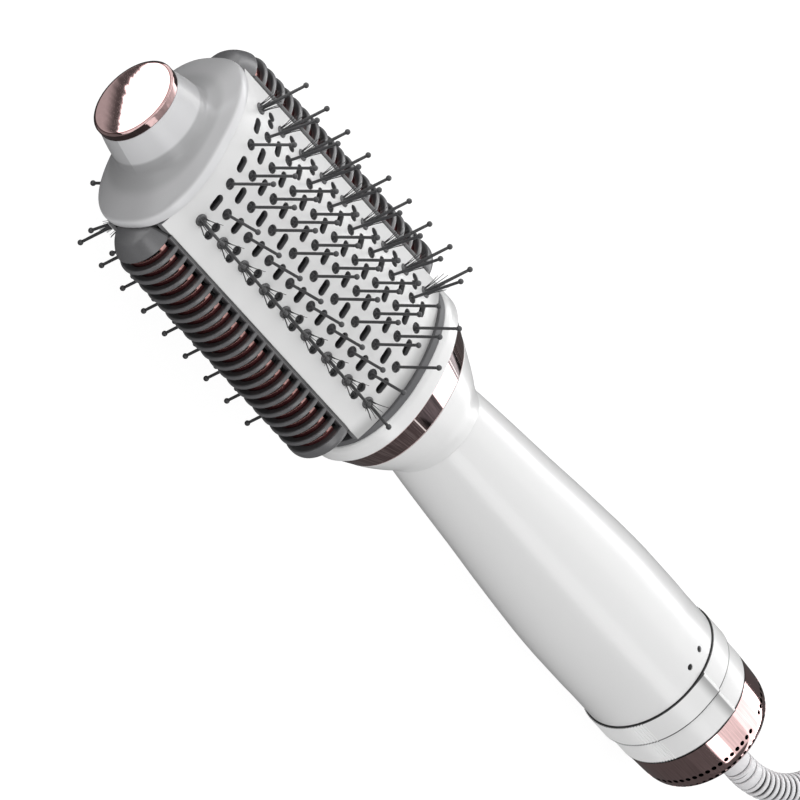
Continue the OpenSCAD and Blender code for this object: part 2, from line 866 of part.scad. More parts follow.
module handle_shell() {
    outer = [for (s = handle_curve) let (x = x_handle + s[0] * handle_len) [handle_r(x), x]];
    inner = [for (k = [len(handle_curve) - 1:-1:1]) let (x = x_handle + handle_curve[k][0] * handle_len)
        [handle_r(x) - handle_t, x]];
    color([0.96, 0.96, 0.96])
        lay()
            difference() {
                along(0)
                    rotate_extrude()
                        polygon(concat(outer, inner, [[handle_r(x_handle + front_wall) - handle_t, x_handle + front_wall],
                            [duct_r + fit, x_handle + front_wall], [duct_r + fit, x_handle]]));
                for (a = lamp_angles)
                    radial(lamp_x, a)
                        cylinder(r = lamp_r + 0.05, h = handle_r1 + 2);
                radial(screw_x, 270)
                    cylinder(r = 1.3, h = handle_r1 + 2);
                radial(screw_x, 270)
                    translate([0, 0, handle_r1 - 1.6])
                        cylinder(r = 2.5, h = 4);
            }
}

module lamps() {
    base = plug_in_r + 0.15;
    color([0.1, 0.1, 0.12])
        lay()
            for (a = lamp_angles)
                radial(lamp_x, a)
                    translate([0, 0, base])
                        cylinder(r = lamp_r, h = handle_r(lamp_x) - base);
}

module handle_screw() {
    color([0.6, 0.6, 0.62])
        lay()
            radial(screw_x, 270)
                union() {
                    translate([0, 0, sleeve_in - 1])
                        cylinder(r = 1.2, h = handle_r1 - 0.4 - sleeve_in);
                    translate([0, 0, handle_r1 - 1.6])
                        cylinder(r = 2.3, h = 1);
                }
}

// A sleeve round the motor on spokes, with a ring at each end against the handle
module motor_holder() {
    x0 = motor_x0 - 4;
    x1 = motor_x0 + 24;
    ring_in = handle_r(x0) - handle_t - fit - holder_ring_t;
    color([0.45, 0.45, 0.47])
        lay()
            union() {
                tube(motor_x0 + 1, x1, motor_r + fit + holder_t, motor_r + fit);
                for (x = [x0, x1 - holder_ring_w])
                    tube(x, x + holder_ring_w, handle_r(x) - handle_t - fit, ring_in);
                for (k = [0:spokes - 1])
                    rotate([360 * k / spokes, 0, 0])
                        translate([x0, motor_r + fit + holder_t / 2, -holder_rib / 2])
                            cube([x1 - x0, ring_in + eps - motor_r - fit - holder_t / 2, holder_rib]);
            }
}

module motor() {
    color([0.65, 0.66, 0.68])
        lay()
            difference() {
                union() {
                    along(motor_x0)
                        cylinder(r = motor_r, h = motor_len);
                    along(motor_x1)
                        cylinder(r = 4, h = 1.5);
                }
                along(motor_x0 + 4)
                    cylinder(r = shaft_r + 0.05, h = motor_len);
            }
}

module motor_shaft() {
    color([0.75, 0.75, 0.77])
        lay()
            along(motor_x0 + 4.2)
                cylinder(r = shaft_r, h = fan_x0 + fan_w - motor_x0 - 4.2);
}

module impeller() {
    color([0.2, 0.2, 0.22])
        lay()
            difference() {
                union() {
                    along(fan_x0)
                        cylinder(r = hub_r, h = fan_w);
                    for (k = [0:fan_blades - 1])
                        rotate([360 * k / fan_blades, 0, 0])
                            blade();
                }
                along(fan_x0 - eps)
                    cylinder(r = shaft_r, h = fan_w + 2 * eps);
            }
}

// One flat blade, set at an angle to the air and rounded at its tip
module blade() {
    chord = fan_w - 2;
    intersection() {
        translate([fan_x0 + fan_w / 2, hub_r - 1, 0])
            rotate([0, 35, 0])
                translate([-chord / 2, 0, -blade_t / 2])
                    cube([chord, fan_r, blade_t]);
        along(fan_x0)
            cylinder(r = fan_r, h = fan_w);
    }
}

module wires() {
    turn_x = motor_x0 - 5.5;
    color([0.15, 0.15, 0.5])
        lay()
            for (a = wire_angles)
                radial(turn_x, a)
                    union() {
                        translate([0, 0, 8])
                            cylinder(r = wire_r, h = wire_at - 8 + wire_r);
                        translate([0, 0, wire_at])
                            rotate([0, 90, 0])
                                cylinder(r = wire_r, h = board_x0 - fit - turn_x);
                        translate([0, 0, 8])
                            rotate([0, -90, 0])
                                cylinder(r = wire_r, h = turn_x - heater_x0 - heater_len - fit);
                    }
}

module control_sleeve() {
    color([0.4, 0.4, 0.42])
        lay()
            difference() {
                union() {
                    tube(x_heat - eps, sleeve_x1, sleeve_r, sleeve_in);
                    tube(plug_in_x, x_heat, plug_in_r, sleeve_in + 0.4);
                }
                for (w = [board_x0 - lug_w - 0.6, board_x0 + board_t + 0.1])
                    window(w, lug_w + 0.5);
                for (x = ring_middles())
                    radial(x, 0)
                        translate([0, 0, sleeve_in - eps])
                            cylinder(r = detent_r + 0.05, h = 4);
                radial(screw_x, 270)
                    cylinder(r = 1.25, h = handle_r1);
            }
}

function ring_middles() = [x_heat + heat_len * 0.35, x_speed + speed_len * 0.65];

// A slot part of the way round the underside of the sleeve
module window(x, w) {
    rotate([270 - window_half, 0, 0])
        along(x)
            sector(sleeve_in - eps, sleeve_r + eps, w, 2 * window_half);
}

// Part of a ring, from +Y round towards +Z once it lies along the axis
module sector(r0, r1, w, angle) {
    rotate([0, 0, 90])
        rotate_extrude(angle = angle)
            translate([r0, 0])
                square([r1 - r0, w]);
}

module circuit_board() {
    color([0.1, 0.4, 0.2])
        lay()
            tube(board_x0, board_x0 + board_t, sleeve_in - fit, 11);
}

module detent_balls() {
    color([0.75, 0.75, 0.77])
        lay()
            for (x = ring_middles())
                radial(x, 0)
                    translate([0, 0, detent_at])
                        sphere(r = detent_r);
}

// Leaf springs under the balls, bent round inside the sleeve
module detent_springs() {
    color([0.7, 0.7, 0.72])
        lay()
            for (x = ring_middles())
                rotate([-15, 0, 0])
                    along(x - 1.5)
                        sector(sleeve_in - fit - 0.4, sleeve_in - fit, 3, 30);
}

// A rotary ring: bored for the sleeve, knurled at its far side, with an index ridge
module ring(x0, x1, r) {
    teeth = floor((knurl_to - knurl_from) / knurl_pitch);
    knurl = [for (k = [0:teeth]) let (a = knurl_from + k * knurl_pitch)
        each [[(r - knurl_h) * cos(a), (r - knurl_h) * sin(a)],
            [(r + knurl_h) * cos(a + knurl_pitch / 2), (r + knurl_h) * sin(a + knurl_pitch / 2)]]];
    smooth = [for (k = [1:48]) let (a = knurl_to - 360 + (knurl_from + 360 - knurl_to) * k / 48)
        [r * cos(a), r * sin(a)]];
    ridge = [[(r - 1) * cos(index_angle), (r - 1) * sin(index_angle)],
        [(r + ridge_h) * cos(index_angle), (r + ridge_h) * sin(index_angle)],
        [(r + ridge_h * 0.8) * cos(index_angle + 2.5), (r + ridge_h * 0.8) * sin(index_angle + 2.5)],
        [r * cos(index_angle + 16), r * sin(index_angle + 16)],
        [(r - 1) * cos(index_angle + 16), (r - 1) * sin(index_angle + 16)]];
    middle = x0 < x_speed ? ring_middles()[0] : ring_middles()[1];
    difference() {
        along(x0)
            rotate([0, 0, 90])
                linear_extrude(height = x1 - x0)
                    union() {
                        polygon(concat(knurl, smooth));
                        polygon(ridge);
                    }
        along(x0 - eps)
            cylinder(r = ring_bore, h = x1 - x0 + 2 * eps);
        rotate([-groove_half, 0, 0])
            along(middle - detent_r - 0.1)
                sector(sleeve_r - eps, sleeve_r + groove_deep, 2 * detent_r + 0.2, 2 * groove_half);
    }
}

module heat_ring() {
    color([0.95, 0.95, 0.95])
        lay()
            ring(x_heat + ring_gap / 2, x_speed - ring_gap / 2, ring_r);
}

module speed_ring() {
    color([0.95, 0.95, 0.95])
        lay()
            ring(x_speed + ring_gap / 2, x_cap - ring_gap / 2, speed_r);
}

// A contact lug that hangs from the inside of a ring through the sleeve's window
module lug(x) {
    rotate([270 - lug_half, 0, 0])
        along(x)
            sector(ring_bore - lug_deep, ring_bore - 0.02, lug_w, 2 * lug_half);
}

module heat_contact() {
    color([0.8, 0.65, 0.35])
        lay()
            lug(board_x0 - lug_w - 0.3);
}

module speed_contact() {
    color([0.8, 0.65, 0.35])
        lay()
            lug(board_x0 + board_t + 0.3);
}

module inlet_cap() {
    outer = [for (p = cap_shape) [p[1], p[0]]];
    color([0.72, 0.5, 0.46])
        lay()
            difference() {
                along(0)
                    rotate_extrude()
                        polygon(concat(outer, [[socket_r + fit, x_end], [socket_r + fit, x_end - cap_t],
                            [cap_shape[5][1] - 0.4, x_end - cap_t], [cap_shape[4][1] - cap_t, x_end - 0.6 - cap_t * 0.8],
                            [cap_shape[3][1] - cap_t, cap_shape[3][0] - cap_t * 0.5],
                            [cap_shape[2][1] - cap_t, cap_shape[2][0]], [cap_shape[1][1] - cap_t, cap_shape[1][0]],
                            [cap_shape[1][1] - cap_t, x_cap + cap_seat + 0.6],
                            [sleeve_r + fit, x_cap + cap_seat], [sleeve_r + fit, cap_shape[0][0]]]));
                for (row = [0, 1], k = [0:cap_holes - 1])
                    if (abs(360 * (k + row / 2) / cap_holes - 88) > 7)
                        radial(hole_rows[row], 360 * (k + row / 2) / cap_holes)
                            translate([0, 0, cap_r - 5])
                                cylinder(r = cap_hole_r, h = 8);
            }
}

module inlet_filter() {
    r0 = cap_shape[1][1] - cap_t - fit;
    color([0.15, 0.15, 0.16])
        lay()
            along(0)
                rotate_extrude()
                    polygon([[r0, sleeve_x1 + fit + 0.1], [r0 - 0.4, x_end - 5], [r0 - 3.2, x_end - cap_t - 0.9],
                        [socket_r + fit, x_end - cap_t - 0.9], [socket_r + fit, x_end - cap_t - 0.9 - filter_t],
                        [r0 - 3.5, x_end - cap_t - 0.9 - filter_t], [r0 - 0.4 - filter_t, x_end - 5.3],
                        [r0 - filter_t, sleeve_x1 + fit + 0.1]]);
}

module swivel_socket() {
    color([0.35, 0.35, 0.37])
        lay()
            union() {
                tube(x_end - socket_len, x_end, socket_r, core_r + ring_clear);
                tube(x_end - socket_len, x_end - cap_t - 0.9 - filter_t - fit, socket_r + 1.6, core_r + ring_clear);
            }
}

module swivel_core() {
    color([0.7, 0.7, 0.71])
        lay()
            difference() {
                union() {
                    along(core_x0)
                        cylinder(r = core_flange_r, h = core_flange_t);
                    along(core_x0)
                        cylinder(r = core_r, h = core_x1 - core_x0);
                }
                along(core_x0 - eps)
                    cylinder(r = cord_d / 2 - 0.4, h = core_x1 - core_x0 + 2 * eps);
            }
}

// The relief's centre line and its direction at a distance from the handle
function relief_turn(s) = max(0, s - relief_straight) / relief_bend * 180 / PI;
function relief_at(s) = [relief_x0 + min(s, relief_straight) + relief_bend * sin(relief_turn(s)),
    relief_bend * (1 - cos(relief_turn(s))), 0];
function relief_way(s) = [cos(relief_turn(s)), sin(relief_turn(s)), 0];

// Distance and radius at each step of the relief's outline
ribs_from = relief_collar + relief_segments * segment_step;
relief_outline = concat(
    [[0, relief_r], [relief_collar - groove_w, relief_r], [relief_collar - groove_w, relief_core_r],
        [relief_collar, relief_core_r]],
    [for (k = [0:relief_segments - 1]) let (s = relief_collar + k * segment_step) each
        [[s, relief_r], [s + segment_step - groove_w, relief_r],
            [s + segment_step - groove_w, relief_core_r], [s + segment_step, relief_core_r]]],
    [for (k = [0:relief_ribs - 1])
        let (s = ribs_from + k * rib_step, r = relief_r + (relief_tip_r - relief_r) * k / relief_ribs) each
            [[s, r], [s + rib_w, r], [s + rib_w, relief_core_r], [s + rib_step, relief_core_r]]],
    [[relief_len, relief_core_r]]);

module strain_relief() {
    color([0.78, 0.78, 0.79])
        lay()
            sweep([for (p = relief_outline) relief_at(p[0])], [for (p = relief_outline) relief_way(p[0])],
                [for (p = relief_outline) p[1]], relief_sides);
}

// Corner points of one ring of a tube, across a direction
function ring_points(p, way, r, sides) =
    let (u = way / norm(way), side = cross(u, [0, 0, 1]), s = side / norm(side), v = cross(s, u))
    [for (k = [0:sides - 1]) let (a = 360 * (k + 0.5) / sides) p + r * (cos(a) * s + sin(a) * v)];

// A closed tube along a list of points, with the direction and radius at each
module sweep(path, ways, radii, sides) {
    n = len(path);
    points = [for (i = [0:n - 1]) each ring_points(path[i], ways[i], radii[i], sides)];
    wall = [for (i = [0:n - 2], k = [0:sides - 1]) let (a = i * sides + k, b = i * sides + (k + 1) % sides)
        each [[a, b, a + sides], [b, b + sides, a + sides]]];
    last = (n - 1) * sides;
    ends = [for (k = [1:sides - 2]) each [[0, k + 1, k], [last, last + k, last + k + 1]]];
    polyhedron(points, concat(wall, ends));
}

// A cord of one radius along a list of points
module cord(path, first, last, sides) {
    n = len(path);
    sweep(path, [for (i = [0:n - 1]) i == 0 ? first : i == n - 1 ? last : path[i + 1] - path[i - 1]],
        [for (p = path) cord_d / 2], sides);
}

// The coil's centre line: in along the lower layer, out along the upper one
function coil_point(t) = let (
        r = coil_in_r + abs(coil_turns - t) * coil_step,
        a = coil_start - 360 * t,
        climb = min(1, max(0, (t - coil_turns + 0.25) * 2)))
    [coil_centre[0] + r * cos(a), coil_centre[1] + r * sin(a), coil_z + coil_step * climb];
function coil_way(t) = [sin(coil_start - 360 * t), -cos(coil_start - 360 * t), 0];
coil_path = concat(
    [coil_point(0) - coil_way(0) * cord_d],
    [for (k = [0:coil_steps]) coil_point(k / coil_rings)],
    [coil_point(coil_total) + coil_way(coil_total) * coil_tail]);
lead_path = concat([placed(relief_at(relief_len))], route_points, [coil_path[0]]);
coil_end = coil_path[len(coil_path) - 1];

// Least gap between the coil's turns, on the points of its centre line
coil_gap = min([for (i = [0:len(coil_path) - 1], j = [i + coil_rings / 2:1:len(coil_path) - 1])
    norm(coil_path[i] - coil_path[j])]) - cord_d;
function path_len(path) = path_sum(path, len(path) - 1);
function path_sum(path, i) = i == 0 ? 0 : norm(path[i] - path[i - 1]) + path_sum(path, i - 1);
echo(coil_gap = coil_gap, cord_length = relief_len + path_len(lead_path) + path_len(coil_path));

module cord_lead() {
    color([0.75, 0.75, 0.76])
        cord(lead_path, heading(relief_way(relief_len)), coil_way(0), 8);
}

module cord_coil() {
    color([0.75, 0.75, 0.76])
        cord(coil_path, coil_way(0), coil_way(coil_total), coil_sides);
}

// A flat strap round the bundle of turns
module cord_tie() {
    r0 = coil_in_r - cord_d / 2 - 1.2;
    r1 = coil_out_r + cord_d / 2 + 0.4;
    h = cord_d + coil_step + 0.4;
    color([0.2, 0.2, 0.22])
        translate([coil_centre[0], coil_centre[1], 0])
            rotate([0, 0, tie_at])
                translate([r0 - tie_t, -tie_w / 2, 0])
                    difference() {
                        cube([r1 - r0 + 2 * tie_t, tie_w, h + 2 * tie_t]);
                        translate([tie_t, -eps, tie_t])
                            cube([r1 - r0, tie_w + 2 * eps, h]);
                    }
}

// Sets a shape drawn along +X at the end of the coil
module at_plug() {
    translate([coil_end[0], coil_end[1], plug_z])
        rotate([0, 0, coil_start - 360 * coil_total - 90])
            children();
}

module plug_body() {
    face = plug_neck + plug_len;
    color([0.78, 0.78, 0.79])
        at_plug()
            difference() {
                union() {
                    along(0)
                        cylinder(r1 = cord_d / 2 + 1, r2 = cord_d / 2 + 2.4, h = plug_neck + 1);
                    hull()
                        for (s = [[plug_neck, plug_w * 0.27, plug_neck_r],
                            [plug_neck + plug_len * 0.35, plug_w / 2 - 1.5, plug_half], [face - 1, plug_w / 2, plug_half]])
                            for (side = [-1, 1])
                                translate([s[0], side * (s[1] - s[2]), 0])
                                    rotate([0, 90, 0])
                                        cylinder(r = s[2], h = 1, $fn = 32);
                    translate([plug_neck + plug_len * 0.35, -plug_w / 2 + plug_half, -plug_z])
                        cube([plug_len * 0.6, plug_w - 2 * plug_half, plug_z]);
                }
                for (side = [-1, 1])
                    along(face - prong_root)
                        translate([0, side * prong_pitch / 2, 0])
                            cylinder(r = prong_r - prong_step, h = prong_root + eps);
            }
}

module plug_prongs() {
    face = plug_neck + plug_len;
    color([0.75, 0.75, 0.77])
        at_plug()
            for (side = [-1, 1])
                translate([0, side * prong_pitch / 2, 0])
                    union() {
                        along(face - prong_root)
                            cylinder(r = prong_r - prong_step, h = prong_root + eps);
                        along(face)
                            cylinder(r = prong_r, h = prong_len - prong_r);
                        translate([face + prong_len - prong_r, 0, 0])
                            sphere(r = prong_r);
                    }
}

tip_disc();
tip_cap();
tip_screw();
front_plate();
back_plate();
front_pins();
back_pins();
front_tufts();
back_tufts();
left_comb();
right_comb();
left_liner();
right_liner();
head_spine();
base_seal();
base_collar();
neck_ring();
shoulder();
duct();
heater_frame();
heater_winding();
thermostat();
thermal_fuse();
handle_shell();
lamps();
handle_screw();
motor_holder();
motor();
motor_shaft();
impeller();
wires();
control_sleeve();
circuit_board();
detent_balls();
detent_springs();
heat_ring();
heat_contact();
speed_ring();
speed_contact();
inlet_cap();
inlet_filter();
swivel_socket();
swivel_core();
strain_relief();
cord_lead();
cord_coil();
cord_tie();
plug_body();
plug_prongs();
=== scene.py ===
import json
import math

import bmesh
import bpy
import numpy as np
from bpy.props import FloatProperty, FloatVectorProperty, IntProperty, PointerProperty
from mathutils import Matrix, Vector


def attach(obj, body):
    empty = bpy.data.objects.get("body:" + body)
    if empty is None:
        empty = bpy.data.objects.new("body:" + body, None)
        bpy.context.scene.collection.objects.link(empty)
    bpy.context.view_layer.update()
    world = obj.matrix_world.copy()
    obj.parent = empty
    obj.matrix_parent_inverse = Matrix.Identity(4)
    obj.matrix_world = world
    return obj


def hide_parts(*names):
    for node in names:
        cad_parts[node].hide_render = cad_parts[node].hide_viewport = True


bl_info = {
    "name": "Hot Air Styler",
    "version": (1, 0, 0),
    "blender": (4, 5, 0),
    "location": "3D View > Sidebar > Styler",
    "description": "Dresses the hot air styler's solids and sets up its studio",
    "category": "Object",
}

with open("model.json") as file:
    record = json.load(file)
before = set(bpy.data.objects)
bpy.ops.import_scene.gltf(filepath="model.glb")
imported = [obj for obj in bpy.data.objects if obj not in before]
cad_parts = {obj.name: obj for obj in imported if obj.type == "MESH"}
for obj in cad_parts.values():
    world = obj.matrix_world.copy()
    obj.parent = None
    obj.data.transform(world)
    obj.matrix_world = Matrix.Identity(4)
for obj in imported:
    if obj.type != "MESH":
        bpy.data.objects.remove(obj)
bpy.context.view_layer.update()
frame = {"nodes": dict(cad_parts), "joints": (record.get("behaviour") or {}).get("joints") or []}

# Lengths below are in millimetres on the styler's own axes: X from the tip to the tail,
# Y to the right roll and Z out of the front face. LAY sets them on the table in metres.
MM = 0.001
X_KNOB, X_CREASE, X_FLANGE, X_HEAD0, X_HEAD1 = 3.4, 18.0, 21.8, 25.7, 139.7
X_COLLAR, X_BAND, X_SHOULDER, X_HANDLE = 141.6, 148.4, 157.8, 175.4
X_HEAT, X_SPEED, X_CAP, X_END = 308.9, 319.4, 330.6, 349.6
SWIVEL = next(j for j in frame["joints"] if j["name"] == "cord_swivel")
AXIS = Vector(SWIVEL["axis"]).normalized()
TILT = math.asin(-AXIS.z)
ORIGIN = Vector(SWIVEL["pos_m"]) - AXIS * X_END * MM
LAY = Matrix.Translation(ORIGIN) @ Matrix.Rotation(TILT, 4, "Y")
SCALE = Matrix.Scale(MM, 4)
ROUND = 160
DEGREES = 180 / math.pi
BORE = 15.1          # inside the neck's pieces
SEAM = 0.15          # half of each gap beside the rings
RING_STEP = 0.6      # the rings stand out of the handle by this
RIDGE_AT = 94.5      # degrees from +Y towards +Z
ROLL_CENTRE, ROLL_FLAT = 31.3, 31.05
ROLL_FIRST = X_HEAD0 + 7.5
LAMP_X, LAMPS_AT = X_HEAT - 5.4, (98.7, 81.9)
RELIEF_START, RELIEF_STRAIGHT, RELIEF_TURN = X_END + 0.2, 18.2, math.radians(52)
SOFT_ANGLE = 0.6     # edges sharper than this, in radians, stay sharp


# ---------------------------------------------------------------- node trees

def arithmetic(operation, swapped=False):
    """A method that adds a Math node for a wire and another wire or number."""
    def act(self, other):
        return self.tree.math(operation, *((other, self) if swapped else (self, other)))
    return act


class Wire:
    """An output socket whose arithmetic adds Math nodes."""

    __add__, __radd__ = arithmetic("ADD"), arithmetic("ADD", True)
    __sub__, __rsub__ = arithmetic("SUBTRACT"), arithmetic("SUBTRACT", True)
    __mul__, __rmul__ = arithmetic("MULTIPLY"), arithmetic("MULTIPLY", True)
    __truediv__, __rtruediv__ = arithmetic("DIVIDE"), arithmetic("DIVIDE", True)

    def __init__(self, tree, socket):
        self.tree, self.socket = tree, socket

    def smooth(self, low, high):
        """0 below low, 1 above high and smooth between them."""
        return self.tree.node("ShaderNodeMapRange", {"interpolation_type": "SMOOTHSTEP"},
                              {"Value": self, "From Min": low, "From Max": high})[0]

    def within(self, before, start, end, after):
        """1 from start to end, 0 up to before and beyond after."""
        return self.smooth(before, start) * (1 - self.smooth(end, after))


class Tree:
    """Adds nodes to a tree."""

    def __init__(self, nodes):
        self.tree = nodes

    def node(self, kind, settings=None, values=()):
        """A node from its type, its settings, and the values or wires of its sockets."""
        node = self.tree.nodes.new(kind)
        for name, value in (settings or {}).items():
            setattr(node, name, value)
        for key, value in (values.items() if isinstance(values, dict) else enumerate(values)):
            if isinstance(value, Wire):
                self.tree.links.new(value.socket, node.inputs[key])
            elif value is not None:
                node.inputs[key].default_value = value
        return Outputs(self, node)

    def math(self, operation, *values):
        return self.node("ShaderNodeMath", {"operation": operation}, list(values))[0]

    def far(self, a, b):
        """Distance of two square legs."""
        return self.math("SQRT", a * a + b * b)

    def split(self, vector):
        parts = self.node("ShaderNodeSeparateXYZ", None, [vector])
        return parts[0], parts[1], parts[2]

    def vector(self, x, y, z=0.0):
        return self.node("ShaderNodeCombineXYZ", None, [x, y, z])[0]


class Outputs:
    """A node's outputs, as wires, by number or by name."""

    def __init__(self, tree, node):
        self.tree, self.node = tree, node

    def __getitem__(self, key):
        return Wire(self.tree, self.node.outputs[key])


# ---------------------------------------------------------------- finishes

class Finish(Tree):
    """A material: one principled shader, and patterns placed on the styler's own axes."""

    def __init__(self, name, color, roughness, metallic=0.0, **fixed):
        self.material = bpy.data.materials.new(name)
        self.material.use_nodes = True
        super().__init__(self.material.node_tree)
        self.tree.nodes.clear()
        self.color, self.roughness = tuple(color), roughness
        self.shader = self.node("ShaderNodeBsdfPrincipled", None, {
            "Base Color": (*color, 1), "Roughness": roughness, "Metallic": metallic,
            **{key.replace("_", " "): value for key, value in fixed.items()}})
        self.node("ShaderNodeOutputMaterial", None, [self.shader[0]])
        self.material.diffuse_color = (*color, 1)

    def feed(self, name, wire):
        self.tree.links.new(wire.socket, self.shader.node.inputs[name])

    def place(self):
        """Position in millimetres along the styler's own axes."""
        turn = Matrix.Rotation(-TILT, 4, "Y")
        back = turn @ -ORIGIN
        spot = self.node("ShaderNodeTexCoord")["Object"]
        spot = self.node("ShaderNodeMapping", {"vector_type": "POINT"},
                         {"Vector": spot, "Rotation": (0, -TILT, 0), "Location": back})[0]
        return self.node("ShaderNodeVectorMath", {"operation": "SCALE"},
                         {"Vector": spot, "Scale": 1 / MM})[0]

    def axes(self):
        """The place, whole and as its three parts."""
        spot = self.place()
        return spot, *self.split(spot)

    def noise(self, spot, scale, detail=2.0):
        return self.node("ShaderNodeTexNoise", {"noise_dimensions": "3D"},
                         {"Vector": spot, "Scale": scale, "Detail": detail})[0]

    def streaks(self, across, along, scale, detail, roughness=0.5):
        """Noise drawn out along one of two measures."""
        return self.node("ShaderNodeTexNoise", {"noise_dimensions": "2D"}, {
            "Vector": self.vector(across, along), "Scale": scale, "Detail": detail, "Roughness": roughness})[0]

    def blend(self, mask, low, high):
        """A colour between two, each a triple or a wire, by a mask."""
        low, high = (c if isinstance(c, Wire) else (*c, 1) for c in (low, high))
        return self.node("ShaderNodeMix", {"data_type": "RGBA"}, {0: mask, 6: low, 7: high})[2]

    def tint(self, mask, dark, light):
        """Base colour between two shades by a mask."""
        self.feed("Base Color", self.blend(mask, dark, light))

    def tint_around(self, mask, spread):
        """Base colour a little darker and lighter than its own by a mask."""
        self.tint(mask, [c * (1 - spread) for c in self.color], [min(1, c * (1 + spread)) for c in self.color])

    def rough_around(self, mask, spread):
        self.feed("Roughness", mask * (2 * spread) + (self.roughness - spread))

    def bump(self, height, distance, strength=1.0):
        self.feed("Normal", self.node("ShaderNodeBump", None, {
            "Height": height, "Distance": distance * MM, "Strength": strength})[0])

    def grained(self, mask, spread, depth):
        """Roughness and a bump from one mask."""
        self.rough_around(mask, spread)
        self.bump(mask, depth)


def moulded(made, grain=1.6, depth=0.012, spread=0.02):
    """Moulded plastic: broad shade drift, fine skin grain."""
    spot = made.place()
    made.tint_around(made.noise(spot, 0.02, 2), spread)
    made.grained(made.noise(spot, grain, 3), 0.03, depth)
    return made.material


def seamed(made, seams, half, grain=1.2, ridge=None):
    """Moulded skin with a painted shade line at each seam along the axis, a painted shade on the lee of its ridge and a
    painted highlight on its top.
    """
    soft, lee_shade, ridge_top_highlight = 0.12, 0.46, 1.15
    spot, x, y, z = made.axes()
    shown = 1.0
    # Each seam gets a painted shade line, for the shade in its gap and on the ring's step.
    for seam in seams:
        shown = made.math("ABSOLUTE", x - seam).smooth(half, half + soft) * shown
    color = made.color
    if ridge:
        past = made.math("ARCTAN2", z, y) * DEGREES - ridge
        # Painted shade on the lee of the ridge, then a painted highlight on its top.
        color = made.blend(past.within(1.6, 2.4, 2.4, 12.0), color, [c * lee_shade for c in made.color])
        color = made.blend(past.within(-0.9, -0.5, 1.4, 1.8), color, [min(1, c * ridge_top_highlight) for c in made.color])
    made.tint(shown, (0.035, 0.035, 0.036), color)
    made.grained(made.noise(spot, grain, 3), 0.03, 0.004)
    return made.material


def pierced(made, spot_r, middle, depth=0.15):
    """Moulded skin whose holes show the dark part behind it from just below the outer face, with painted shade towards
    its end beside the seal.
    """
    spot, x, y, z = made.axes()
    out = made.far(y, made.math("ABSOLUTE", z) - middle)
    shown = out.smooth(spot_r - depth - 0.12, spot_r - depth)
    # Painted shade on the plate where it meets the seal.
    corner = x.smooth(X_HEAD1 - 6.5, X_HEAD1 - 1.0)
    made.tint(shown, (0.17, 0.17, 0.175), made.blend(corner, made.color, [c * 0.55 for c in made.color]))
    made.rough_around(made.noise(spot, 1.8, 3), 0.03)
    made.bump(made.noise(spot, 1.2, 3), 0.006)
    return made.material


def painted_slit_highlights(made, first, pitch, edge=0.74):
    """Metal with a painted highlight along the edges of each slit and painted dark red shade between."""
    spot, x = made.axes()[:2]
    phase = made.math("FRACT", (x - first) / pitch + 0.5)
    far = made.math("ABSOLUTE", phase - 0.5) * pitch
    # Painted highlight by each slit's edges, painted shade elsewhere.
    made.tint(1 - far.smooth(edge - 0.12, edge), (0.11, 0.03, 0.032), made.color)
    made.rough_around(made.noise(spot, 1.4, 3), 0.06)
    return made.material


def ribbed(made, across, spot_r, start, end, dark, depth=0.5):
    """Plastic with pale rib tops and painted shade in the slots between two stations, by its distance from a line
    beside the axis, and painted shade along its rail with a darker painted shadow line by the plate.
    """
    # Painted shadow in the gap by the plate, and painted shade over the rest of the rail.
    groove, rail_shade = (0.022, 0.022, 0.023), (0.058, 0.058, 0.06)
    spot, x, y, z = made.axes()
    side = made.math("ABSOLUTE", y) - across
    slotted = x.within(start - 0.2, start + 0.1, end - 0.1, end + 0.2)
    grain = made.noise(spot, 2.2, 3)
    # Painted shade deep in the slots, under the pale rib tops.
    top = 1 - slotted * (1 - made.far(side, z).smooth(spot_r - depth - 0.5, spot_r - depth))
    rail = made.blend(side.smooth(0.1, 0.25), groove, rail_shade)
    made.tint(top * (grain * 0.3 + 0.7), dark, made.blend(side.smooth(0.68, 0.8), rail, made.color))
    made.grained(grain, 0.04, 0.012)
    return made.material


def tufted(made, foot_r, middle, pale):
    """Nylon that is paler and mottled on the round feet close to the plate."""
    spot, _, y, z = made.axes()
    out = made.far(y, made.math("ABSOLUTE", z) - middle)
    foot = out.within(foot_r - 0.7, foot_r - 0.2, foot_r + 0.5, foot_r + 1.0)
    mottle = made.noise(spot, 2.6, 3).smooth(0.35, 0.62)
    made.tint(foot * (mottle * 0.8 + 0.2), made.color, pale)
    made.grained(mottle, 0.05, 0.05)
    return made.material


def sleeved(made, end, straight, bend, core):
    """Plastic with painted shade in the gaps of a sleeve that runs straight and then bends to one side."""
    spot, x, y, z = made.axes()
    past = x - (end + straight)
    bent = past.smooth(-0.2, 0.2)
    off = (made.far(past, y - bend) - bend) * bent + y * (1 - bent)
    # Painted shade in the gaps between the ribs.
    made.tint(made.far(off, z).smooth(core, core + 0.9), [c * 0.07 for c in made.color], made.color)
    made.grained(made.noise(spot, 2.0, 3), 0.04, 0.01)
    return made.material


def turned(made):
    """Plated metal polished round the styler's axis: faint streaks along it, and painted shade on its inner face and
    hole walls.
    """
    spot, x, y, z = made.axes()
    lines = made.streaks(made.math("ARCTAN2", z, y) * 20, x * 0.03, 2.4, 4.0)
    cloud = made.noise(spot, 0.12, 3)
    color = made.blend((lines * 0.7 + cloud * 0.3).smooth(0.3, 0.7), [c * 0.84 for c in made.color],
                       [min(1, c * 1.048) for c in made.color])
    # Painted shade on the inner face and the hole walls, from the deep attribute.
    wall = made.node("ShaderNodeAttribute", {"attribute_name": "deep"})["Fac"].smooth(0.02, 0.12)
    made.feed("Base Color", made.blend(wall, color, (0.012, 0.009, 0.009)))
    made.rough_around(lines * 0.6 + cloud * 0.4, made.roughness * 0.5)
    made.bump(lines, 0.004)
    return made.material


